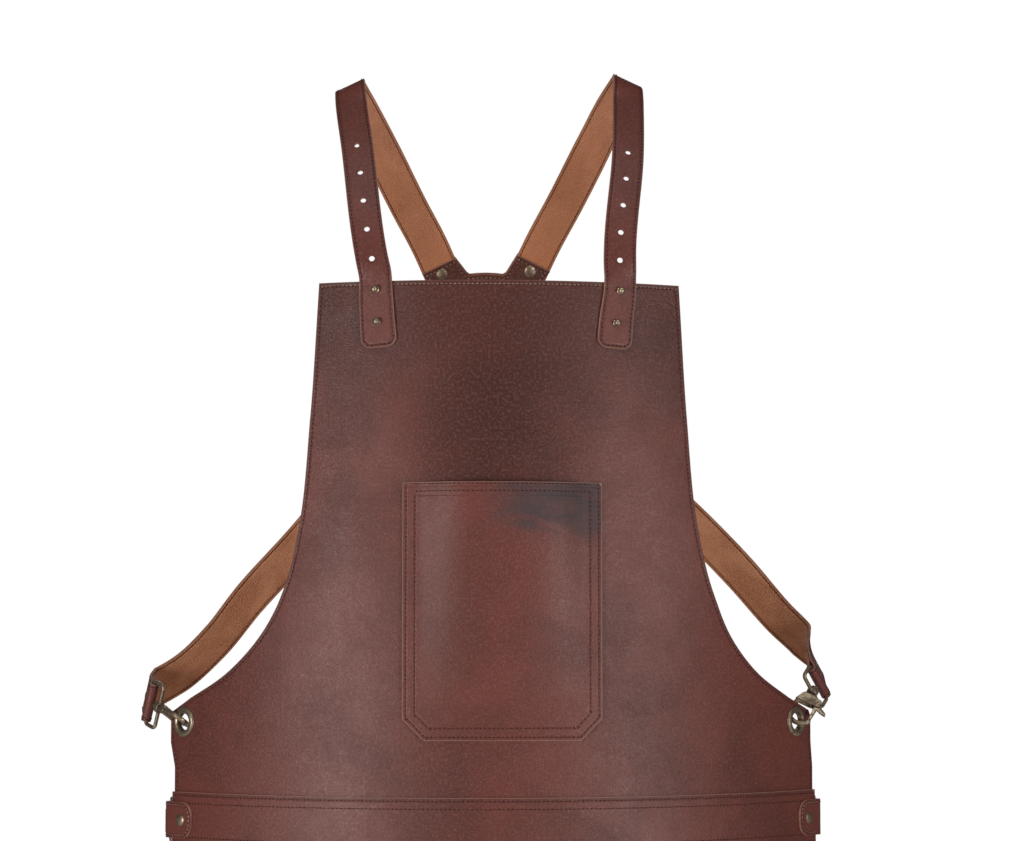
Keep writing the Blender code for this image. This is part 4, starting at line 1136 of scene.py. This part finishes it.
class APRON_OT_waistband(bpy.types.Operator):
    """Builds the waistband, its facing and their double rows of stitching"""
    bl_idname = "apron.waistband"
    bl_label = "Waistband"

    def execute(self, context):
        def strip(half, low, high):
            left, right = WAIST_SHIFT - half, WAIST_SHIFT + half
            return [(left, high), (left, low), (right, low), (right, high)]

        front, back = layer(GAP + LEATHER / 2), layer(-1.5 * LEATHER - GAP)
        outline = strip(WAIST_HALF, BAND_LOW, BAND_TOP)
        band = leather("band", outline, front, grain_leather("trim"))
        fit(band, "apron", "hide", "waistband")
        half = PANEL_HALF
        facing = leather("band_facing", strip(half, FACING_LOW, FACING_TOP), back, flesh_side(),
                         inner=grain_leather("yoke"))
        fit(facing, "apron", "suede_side", "waistband_facing")
        reach = WAIST_HALF - STITCH_IN
        rows = [[(WAIST_SHIFT - reach, z), (WAIST_SHIFT + reach, z)]
                for inset_by in (STITCH_IN, BAND_ROW)
                for z in (BAND_TOP - inset_by, BAND_LOW + inset_by)]
        inner = [row for row in rows if FACING_LOW < row[0][1] < FACING_TOP]
        stitching("band_stitching", [(rows, front, LEATHER / 2), (inner, back, -LEATHER / 2)],
                  "dark", seed=6)
        return {"FINISHED"}


def pocket_outline():
    low, high = POCKET_S - POCKET_HALF, POCKET_S + POCKET_HALF
    cut = POCKET_CHAMFER
    return [(low, POCKET_TOP), (low, POCKET_LOW + cut), (low + cut, POCKET_LOW),
            (high - cut, POCKET_LOW), (high, POCKET_LOW + cut), (high, POCKET_TOP)]


def pocket_place(s, z, lift=0.0):
    across = min(abs(s - POCKET_S) / (POCKET_HALF - 0.012), 1)
    height = clamped((z - POCKET_LOW - 0.03) / (POCKET_TOP - POCKET_LOW - 0.03))
    gape = POCKET_GAPE * (1 - across ** 4) ** 2 * height ** 0.6
    return wrapped(s, z, GAP + LEATHER / 2 + gape + lift)


class APRON_OT_pocket(bpy.types.Operator):
    """Builds the chest pocket with its gaping mouth and double stitching"""
    bl_idname = "apron.pocket"
    bl_label = "Chest pocket"

    def execute(self, context):
        outline = pocket_outline()
        pocket = leather("pocket", outline, pocket_place, pocket_leather(), cell=0.003)
        fit(pocket, "apron", "hide", "chest_pocket")
        lines = []
        for gap in (STITCH_IN, POCKET_ROW):
            runs = inset(outline, gap)
            lines += [run for run in runs if min(p[1] for p in run) < POCKET_TOP - 0.02]
        low, high = POCKET_S - POCKET_HALF, POCKET_S + POCKET_HALF
        hem = [[(low + 0.010, z), (high - 0.013, z)] for z in (POCKET_TOP - 0.0015, POCKET_TOP - 0.0075)]
        stitching("pocket_stitching", [(lines + hem, pocket_place, LEATHER / 2)], "dark", seed=7)
        return {"FINISHED"}


class APRON_OT_shoulder_straps(bpy.types.Operator):
    """Builds the two shoulder straps with their stud holes and spare holes"""
    bl_idname = "apron.shoulder_straps"
    bl_label = "Shoulder straps"

    def execute(self, context):
        for name, side in SIDES:
            route = shoulder_route(name, side)

            def half(share):
                front, back = eased(share / 0.16), eased((share - 0.5) / 0.25)
                return (FRONT_WIDTH + (NECK_WIDTH - FRONT_WIDTH) * front
                        + (BACK_WIDTH - NECK_WIDTH) * back) / 2

            outline = strap_outline(route.length, half, 0.008, 0.003)
            low, high = STRAP_FRONT[name][1][0][1], STRAP_FRONT[name][1][1][1]
            spare = [low + (high - low) * k / (SPARE_HOLES - 1) for k in range(SPARE_HOLES)]
            holes = [((0.0, route.at_height(z)), SPARE_HOLE_R) for z in spare]
            holes += [((0.0, route.at_height(z)), STUD_HOLE_R) for z in STUD_Z]
            strap = leather("shoulder_" + name, outline, route.place, grain_leather("trim"), holes,
                            cell=0.003)
            fit(strap, "apron", "hide", "shoulder_strap_" + name)
            lines = inset(outline, STRAP_STITCH_IN)
            stitching("shoulder_stitching_" + name, both_faces(lines, route.place), "dark",
                      seed=8 + side)
        return {"FINISHED"}


class APRON_OT_side_straps(bpy.types.Operator):
    """Builds the two side straps, folded round the snap hooks' eyes"""
    bl_idname = "apron.side_straps"
    bl_label = "Side straps"

    def execute(self, context):
        for name, side in SIDES:
            route, _, _ = side_route(name, side)
            outline = strap_outline(route.length, lambda share: BACK_WIDTH / 2, 0.003, 0.004)
            strap = leather("side_" + name, outline, route.place, grain_leather("trim"),
                            cell=0.0034, cell_v=0.002, inner=flesh_side("side"))
            fit(strap, "apron", "suede_side", "side_strap_" + name)
            lines = inset(outline, STRAP_STITCH_IN)
            stitching("side_stitching_" + name, both_faces(lines, route.place), "dark",
                      "suede_side", seed=11 + side)
        return {"FINISHED"}


class APRON_OT_yoke(bpy.types.Operator):
    """Builds the two crossed layers that hold the four straps at the back"""
    bl_idname = "apron.yoke"
    bl_label = "Yoke"

    def execute(self, context):
        outline = yoke_outline()
        for name, node, lift, flip in (("yoke_back", "yoke_outer", YOKE_LAYER, True),
                                       ("yoke_front", "yoke_inner", -YOKE_LAYER, False)):
            def place(x, z, more=0.0, lift=lift):
                return back_point(x, z, lift + more)[0]

            sheet = leather(name, outline, place, grain_leather("yoke"), cell=0.003, flip=flip)
            fit(sheet, "apron", "dark_hide", node)
            wide = max(x for x, _ in outline) - min(x for x, _ in outline)
            tall = max(z for _, z in outline) - min(z for _, z in outline)
            0.62 * wide * tall
            outside = LEATHER / 2 if lift > 0 else -LEATHER / 2
            stitching(name + "_stitching", [(inset(outline, STITCH_IN), place, outside)], "light",
                      "dark_hide", seed=14)
        return {"FINISHED"}


class APRON_OT_waist(bpy.types.Operator):
    """Builds the waist tabs and the slack strap behind"""
    bl_idname = "apron.waist"
    bl_label = "Waist tabs and strap"

    def execute(self, context):
        for name, side in SIDES:
            route = tab_route(name, side)["route"]
            outline = strap_outline(route.length, lambda share: TAB_HEIGHT / 2, 0.012, 0.012, 0.006)
            tab = leather("tab_" + name, outline, route.place, grain_leather(), cell=0.002)
            fit(tab, "apron", "hide", "waist_tab_" + name)
            lines = inset(outline, STRAP_STITCH_IN)
            stitching("tab_stitching_" + name, [(lines, route.place, LEATHER / 2)],
                      "light", seed=16 + side)
        route, _ = waist_route()
        outline = strap_outline(route.length, lambda share: WAIST_WIDTH / 2, 0.003, 0.003)
        strap = leather("waist_tie", outline, route.place, grain_leather("yoke"),
                        thickness=WORN_THIN, cell=0.0033, cell_v=0.002)
        fit(strap, "apron", "dark_hide", "waist_strap")
        rows = [[(across, PLAIN_END), (across, route.length - PLAIN_END)]
                for across in (STRAP_STITCH_IN - WAIST_WIDTH / 2, WAIST_WIDTH / 2 - STRAP_STITCH_IN)]
        stitching("waist_stitching", both_faces(rows, route.place, WORN_THIN),
                  "dark", "dark_hide", seed=19)
        return {"FINISHED"}


# ---------------------------------------------------------------- operators: hardware

def node_names(*parts):
    """Every combination of the name's parts."""
    names = [""]
    for part in parts:
        names = [name + choice for name in names for choice in part]
    return names


SIDE_NAMES = ("_left", "_right")


class APRON_OT_rivets(bpy.types.Operator):
    """Sets the double-cap rivets in the yoke, the straps and the tabs"""
    bl_idname = "apron.rivets"
    bl_label = "Rivets"

    def execute(self, context):
        _, waist_rivets = waist_route()
        big, small, medium = 0.0055, 0.0045, 0.0050
        rivets = []
        for name, side in SIDES:
            for at in (UPPER_RIVET[name], LOWER_RIVET[name]):
                centre, normal = back_point(*at)
                rivets.append((centre, normal, YOKE_LAYER + LEATHER / 2, big))
            _, joint, face = side_route(name, side)
            rivets.append((joint, face, (FOLD_SPACING + LEATHER) / 2, small))
            tab = tab_route(name, side)
            rivets.append((tab["rivet"], tab["facing"], tab["reach"], medium))
            rivets.append((*waist_rivets[name], (FOLD_SPACING + THIN_LEATHER) / 2, small))
        places = [(centre + axis * way * reach, axis * way, radius)
                  for centre, axis, reach, radius in rivets for way in (1, -1)]
        dome = [(0.0, 0.30), (0.20, 0.295), (0.42, 0.272), (0.62, 0.228), (0.78, 0.172),
                (0.90, 0.112), (0.97, 0.065), (1.0, 0.025), (0.985, -0.015), (0.93, -0.03), (0.0, -0.03)]
        nodes = node_names(["yoke_rivet_upper", "yoke_rivet_lower", "strap_rivet", "tab_rivet",
                            "waist_rivet"], SIDE_NAMES, ["_cap", "_post"])
        fasteners("rivets", dome, places, nodes, 0.55)
        return {"FINISHED"}


class APRON_OT_studs(bpy.types.Operator):
    """Sets the four ball studs that button the straps, with their screws behind"""
    bl_idname = "apron.studs"
    bl_label = "Ball studs"

    def execute(self, context):
        ball_r, ball_at, neck = 0.0030, 0.0056, 0.0016
        ball = [(ball_r * math.sin(a), ball_at + ball_r * math.cos(a))
                for a in (math.pi * 0.80 * k / 12 for k in range(13))]
        base = [(neck, 0.0034), (0.0019, 0.0029), (0.0028, 0.0027), (0.0030, 0.0024), (0.0028, 0.0022),
                (neck, 0.0020), (neck, -0.0018), (0, -0.0018)]
        screw = [(0, 0.0011), (0.0030, 0.0009), (0.0040, 0.0005), (0.0042, 0.0), (0.0040, -0.0003),
                 (0, -0.0003)]
        fronts, backs = [], []
        for name, _ in SIDES:
            _, low_x, high_x = STRAP_FRONT[name][0]
            for x, z in ((low_x, STUD_Z[1]), (high_x, STUD_Z[0])):
                s = WRAP_R * math.asin(x / WRAP_R)
                fronts.append((wrapped(s, z), outward(s), 1.0))
                backs.append((wrapped(s, z, -LEATHER - 0.0001), -outward(s), 1.0))
        kinds = ["strap_stud_upper", "strap_stud_lower"]
        fasteners("studs", ball + base, fronts, node_names(kinds, SIDE_NAMES), 0.75)
        fasteners("stud_screws", screw, backs, node_names(kinds, SIDE_NAMES, ["_screw"]), 0.35)
        return {"FINISHED"}


class APRON_OT_eyelets(bpy.types.Operator):
    """Sets the two rolled eyelets and their washers behind the bib"""
    bl_idname = "apron.eyelets"
    bl_label = "Eyelets"

    def execute(self, context):
        middle, rise = (EYELET_R + EYELET_HOLE_R) / 2, 0.0019
        half = (EYELET_R - EYELET_HOLE_R) / 2
        roll = [(middle - half * math.cos(a), GAP * 0.3 + rise * math.sin(a))
                for a in (math.pi * k / 12 for k in range(13))]
        ring = roll + [(EYELET_R - 0.0004, 0.0), (BARREL_R, 0.0), (BARREL_R, BARREL_LOW),
                       (EYELET_HOLE_R, BARREL_LOW)]
        washer = [(0.0080, 0.0003), (0.0086, 0.0013), (0.0100, 0.0015), (0.0116, 0.0012),
                  (0.0126, 0.0005), (0.0127, 0.0), (0.0080, 0.0)]
        fronts = [(wrapped(s, EYELET_Z), outward(s), 1.0) for s in EYELET_S.values()]
        backs = [(wrapped(s, EYELET_Z, -LEATHER - 0.0001), -outward(s), 1.0) for s in EYELET_S.values()]
        fasteners("eyelets", ring, fronts, node_names(["eyelet"], SIDE_NAMES), 0.5, closed=True)
        fasteners("eyelet_washers", washer, backs, node_names(["eyelet_washer"], SIDE_NAMES), 0.4,
                  closed=True)
        return {"FINISHED"}


WIRE_SIDES = 5


def wire(name, points, radius, matrix, cyclic=False):
    """A round wire through the points, as a mesh."""
    curve = bpy.data.curves.new(name, "CURVE")
    curve.dimensions = "3D"
    curve.bevel_depth = radius
    curve.bevel_resolution = WIRE_SIDES
    curve.use_fill_caps = not cyclic
    spline = curve.splines.new("POLY")
    spline.points.add(len(points) - 1)
    for dot, point in zip(spline.points, points):
        dot.co = (*point, 1)
    spline.use_cyclic_u = cyclic
    guide = bpy.data.objects.new(name + "_guide", curve)
    bpy.context.scene.collection.objects.link(guide)
    mesh = bpy.data.meshes.new_from_object(guide.evaluated_get(bpy.context.evaluated_depsgraph_get()))
    bpy.data.objects.remove(guide)
    bm = bmesh.new()
    bm.from_mesh(mesh)
    bmesh.ops.remove_doubles(bm, verts=bm.verts, dist=0.00001)
    bm.to_mesh(mesh)
    bm.free()
    mesh.transform(matrix)
    mesh.materials.clear()
    return show(name, mesh)


def plate(name, outline, thickness, matrix, round_by=0.0, offset=0.0):
    """A flat outline with a thickness along Z and rounded edges."""
    bm = bmesh.new()
    low = [bm.verts.new((x, y, offset - thickness / 2)) for x, y in outline]
    face = bm.faces.new(low)
    top = bmesh.ops.extrude_face_region(bm, geom=[face])["geom"]
    moved = [item for item in top if isinstance(item, bmesh.types.BMVert)]
    bmesh.ops.translate(bm, verts=moved, vec=(0, 0, thickness))
    bmesh.ops.recalc_face_normals(bm, faces=bm.faces)
    obj = show(name, mesh_of(bm, name))
    if round_by:
        soft = obj.modifiers.new("round", "BEVEL")
        soft.width = round_by
        soft.segments = 3
        soft.limit_method = "ANGLE"
        soft.angle_limit = math.radians(40)
        settle(obj)
    mesh = obj.data
    mesh.transform(matrix)
    return obj


def pooled(pieces):
    """The pieces' meshes together; the pieces themselves are removed."""
    bm = bmesh.new()
    for piece in pieces:
        bm.from_mesh(piece.data)
        bpy.data.objects.remove(piece)
    return bm


CAST_CELL = 0.0003


def cast(name, pieces, finish):
    """The pieces cast into one closed body with softened joins."""
    obj = show(name, mesh_of(pooled(pieces), name), finish)
    melt = obj.modifiers.new("melt", "REMESH")
    melt.mode = "VOXEL"
    melt.voxel_size = CAST_CELL
    melt.use_smooth_shade = True
    ease = obj.modifiers.new("ease", "SMOOTH")
    ease.factor = 0.5
    ease.iterations = 4
    settle(obj)
    obj.data.materials.clear()
    obj.data.materials.append(finish)
    return obj


def turned_at(name, profile, matrix):
    obj = turned_profile(name, profile)
    obj.data.transform(matrix)
    return obj


CORNER_STEPS = 8


def rounded_loop(low, high, half, corner):
    """Centres of a rounded rectangle from low to high along X, and half on each side along Y."""
    centres = ((high - corner, half - corner, 0), (low + corner, half - corner, 90),
               (low + corner, corner - half, 180), (high - corner, corner - half, 270))
    points = []
    for x, y, start in centres:
        for k in range(CORNER_STEPS + 1):
            angle = math.radians(start + 90 * k / CORNER_STEPS)
            points.append((x + corner * math.cos(angle), y + corner * math.sin(angle), 0))
    return points


def axes(x, y, z, origin):
    return Matrix.Translation(origin) @ Matrix((x, y, z)).transposed().to_4x4()


def aligned(centre, axis):
    z = Vector(axis).normalized()
    guide = UP if abs(z.z) < 0.9 else Vector((1, 0, 0))
    x = (guide - z * guide.dot(z)).normalized()
    return axes(x, z.cross(x), z, centre)


class APRON_OT_hooks(bpy.types.Operator):
    """Builds the two swivel snap hooks with their strap eyes and sprung triggers"""
    bl_idname = "apron.hooks"
    bl_label = "Snap hooks"

    def execute(self, context):
        for name, side in SIDES:
            self.snap(context, name, side)
        return {"FINISHED"}

    def snap(self, context, name, side):
        sizes = context.scene.apron_metal
        centre, axis, normal, across = hook_frame(name, side)
        eye_frame = axes(axis, across, axis.cross(across), centre)
        bow = wire("bow", rounded_loop(EYE_NEAR, EYE_FAR, EYE_HALF, EYE_CORNER), sizes.eye_wire,
                   eye_frame, cyclic=True)
        boss_frame = aligned(centre + axis * BOSS_AT, axis)
        boss = turned_at("boss", BOSS, boss_frame)
        sleeve = turned_at("sleeve", (BOSS[-1], BOSS[0]), boss_frame)
        bm = pooled((boss, sleeve))
        bmesh.ops.remove_doubles(bm, verts=bm.verts, dist=0.00002)
        bmesh.ops.recalc_face_normals(bm, faces=bm.faces)
        eye = cast("eye_" + name, [bow, show("boss", mesh_of(bm, "boss"))], antique_brass(0.45))
        fit(eye, "eye_" + name, "antique_brass", "swivel_eye_" + name)

        turn = HOOK_TURN[name]
        face = normal * math.cos(turn) + across * math.sin(turn)
        frame_of = axes(axis, face, axis.cross(face), centre)
        bend = wire("bend", [(x, y, 0) for x, y in smooth_line(HOOK_BEND, 0.0010)],
                    sizes.hook_wire, frame_of)
        tip = turned_at("tip", [(sizes.hook_wire * math.sin(a), sizes.hook_wire * math.cos(a))
                                for a in (math.pi * k / 10 for k in range(11))],
                        frame_of @ Matrix.Translation((*HOOK_BEND[-1], 0)))
        block = plate("block", HOOK_BODY, BODY_THICK, frame_of, 0.0010)
        cheeks = [plate("cheek", HOOK_CHEEK, CHEEK_THICK, frame_of, 0.0004, way * CHEEK_AT)
                  for way in (-1, 1)]
        neck = turned_at("neck", NECK, aligned(centre + axis * NECK_AT, axis))
        hook = cast("hook_" + name, [bend, tip, block, *cheeks, neck], antique_brass(0.6))
        fit(hook, "hook_" + name, "antique_brass", "snap_hook_" + name)

        pivot = frame_of @ Vector((*PIN_AT, 0))
        pin = turned_at("pin_" + name, PIN, aligned(pivot, axis.cross(face)))
        pin.data.materials.append(antique_brass(0.75))
        fit(pin, "hook_" + name, "antique_brass", "trigger_pin_" + name)

        px, py = PIN_AT
        lever = [(0.0076, 0.0090), (px - 0.001, py - 0.0024), (px + 0.0012, py - 0.0021),
                 (px + 0.0024, py), (px + 0.0012, py + 0.0022), (0.0232, 0.0150), (0.0204, 0.0195),
                 (0.0190, 0.0205), (0.0178, 0.0202), (0.0188, 0.0150), (0.0203, 0.0116),
                 (0.0076, 0.0112)]
        trigger = plate("lever_" + name, lever, LEVER_THICK, frame_of, 0.0005)
        trigger.data.materials.append(antique_brass(0.75))
        fit(trigger, "trigger_" + name, "antique_brass", "trigger_" + name)


class APRON_OT_rings(bpy.types.Operator):
    """Builds the two waist rings"""
    bl_idname = "apron.rings"
    bl_label = "Waist rings"

    def execute(self, context):
        for name, side in SIDES:
            tab = tab_route(name, side)
            away = tab["away"]
            place = axes(away, UP, away.cross(UP), tab["bar"])
            loop = [(0, y, 0) for y in (RING_HALF, RING_HALF / 3, -RING_HALF / 3, -RING_HALF)]
            for y, start in ((RING_CORNER - RING_HALF, -90), (RING_HALF - RING_CORNER, 0)):
                for k in range(13):
                    angle = math.radians(start + 90 * k / 12)
                    loop.append((RING_DEPTH - RING_CORNER + RING_CORNER * math.cos(angle),
                                 y + RING_CORNER * math.sin(angle), 0))
            ring = wire("ring_" + name, loop, context.scene.apron_metal.ring_wire, place, cyclic=True)
            ring.data.materials.append(antique_brass(0.8))
            fit(ring, "ring_" + name, "antique_brass", "d_ring_" + name)
        return {"FINISHED"}


# ---------------------------------------------------------------- stage

class APRON_OT_stage(bpy.types.Operator):
    """Sets up the pale floor, the soft lights and the camera"""
    bl_idname = "apron.stage"
    bl_label = "Studio"

    def execute(self, context):
        scene, look = context.scene, context.scene.apron_stage
        bm = bmesh.new()
        bmesh.ops.create_circle(bm, cap_ends=True, radius=7.0, segments=96)
        mesh = mesh_of(bm, "floor")
        mesh.transform(Matrix.Translation((0, 0, CAD_BOX[0].z - look.drop)))
        show("floor", mesh, studio_floor())

        camera = bpy.data.objects.new("camera", bpy.data.cameras.new("camera"))
        camera.data.lens = look.lens
        camera.data.clip_end = 50
        camera.location = look.eye
        camera.rotation_euler = (math.pi / 2 + look.tilt, 0, -look.turn)
        scene.collection.objects.link(camera)
        scene.camera = camera

        aim = Vector((0, 0, -0.45))
        for name, at, wide, tall, power in (
                ("left_softbox", (-1.80, -1.88, -0.68), 0.60, 0.8, 31),
                ("right_softbox", (1.70, -1.98, -0.62), 0.60, 0.8, 25),
                ("overhead", (0.0, -1.35, 1.70), 1.8, 0.9, 15),
                ("behind", (0.0, 2.60, 0.40), 2.4, 1.4, 26)):
            light = bpy.data.lights.new(name, "AREA")
            light.shape = "RECTANGLE"
            light.size, light.size_y, light.energy = wide, tall, power
            lamp = bpy.data.objects.new(name, light)
            lamp.location = at
            lamp.rotation_euler = (aim - Vector(at)).to_track_quat("-Z", "Y").to_euler()
            scene.collection.objects.link(lamp)

        world = bpy.data.worlds.new("studio")
        world.use_nodes = True
        tree = Tree(world.node_tree)
        world.node_tree.nodes.clear()
        seen = tree.node("ShaderNodeLightPath", out="Is Camera Ray")
        wall = tree.node("ShaderNodeBackground", None, {"Color": (1, 1, 1, 1), "Strength": 1.0})
        fill = tree.node("ShaderNodeBackground", None, {"Color": (0.96, 0.98, 1, 1), "Strength": 0.10})
        both = tree.node("ShaderNodeMixShader", None, {0: seen, 1: fill, 2: wall})
        tree.node("ShaderNodeOutputWorld", None, {"Surface": both})
        scene.world = world
        scene.view_settings.view_transform = "Standard"
        return {"FINISHED"}


class APRON_PT_pieces(bpy.types.Panel):
    """The apron's pieces and its settings"""
    bl_idname = "APRON_PT_pieces"
    bl_label = "Leather Work Apron"
    bl_space_type = "VIEW_3D"
    bl_region_type = "UI"
    bl_category = "Apron"

    def draw(self, context):
        for operator in OPERATORS:
            self.layout.operator(operator.bl_idname)
        for settings in (context.scene.apron_leather, context.scene.apron_metal,
                         context.scene.apron_stage):
            box = self.layout.box()
            for name in settings.bl_rna.properties.keys():
                if name not in ("rna_type", "name"):
                    box.prop(settings, name)


OPERATORS = (APRON_OT_stage, APRON_OT_bib, APRON_OT_skirt, APRON_OT_waistband, APRON_OT_pocket,
             APRON_OT_shoulder_straps, APRON_OT_side_straps, APRON_OT_yoke, APRON_OT_waist,
             APRON_OT_rivets, APRON_OT_studs, APRON_OT_eyelets, APRON_OT_hooks, APRON_OT_rings)
GROUPS = (APRON_PG_leather, APRON_PG_metal, APRON_PG_stage)


def register():
    for kind in (*GROUPS, *OPERATORS, APRON_PT_pieces):
        bpy.utils.register_class(kind)
    bpy.types.Scene.apron_leather = PointerProperty(type=APRON_PG_leather)
    bpy.types.Scene.apron_metal = PointerProperty(type=APRON_PG_metal)
    bpy.types.Scene.apron_stage = PointerProperty(type=APRON_PG_stage)


def unregister():
    del bpy.types.Scene.apron_leather, bpy.types.Scene.apron_metal, bpy.types.Scene.apron_stage
    for kind in (APRON_PT_pieces, *reversed(OPERATORS), *reversed(GROUPS)):
        bpy.utils.unregister_class(kind)


def main():
    register()
    for operator in OPERATORS:
        getattr(bpy.ops.apron, operator.bl_idname.split(".")[1])()
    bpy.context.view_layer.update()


if __name__ == "__main__":
    main()
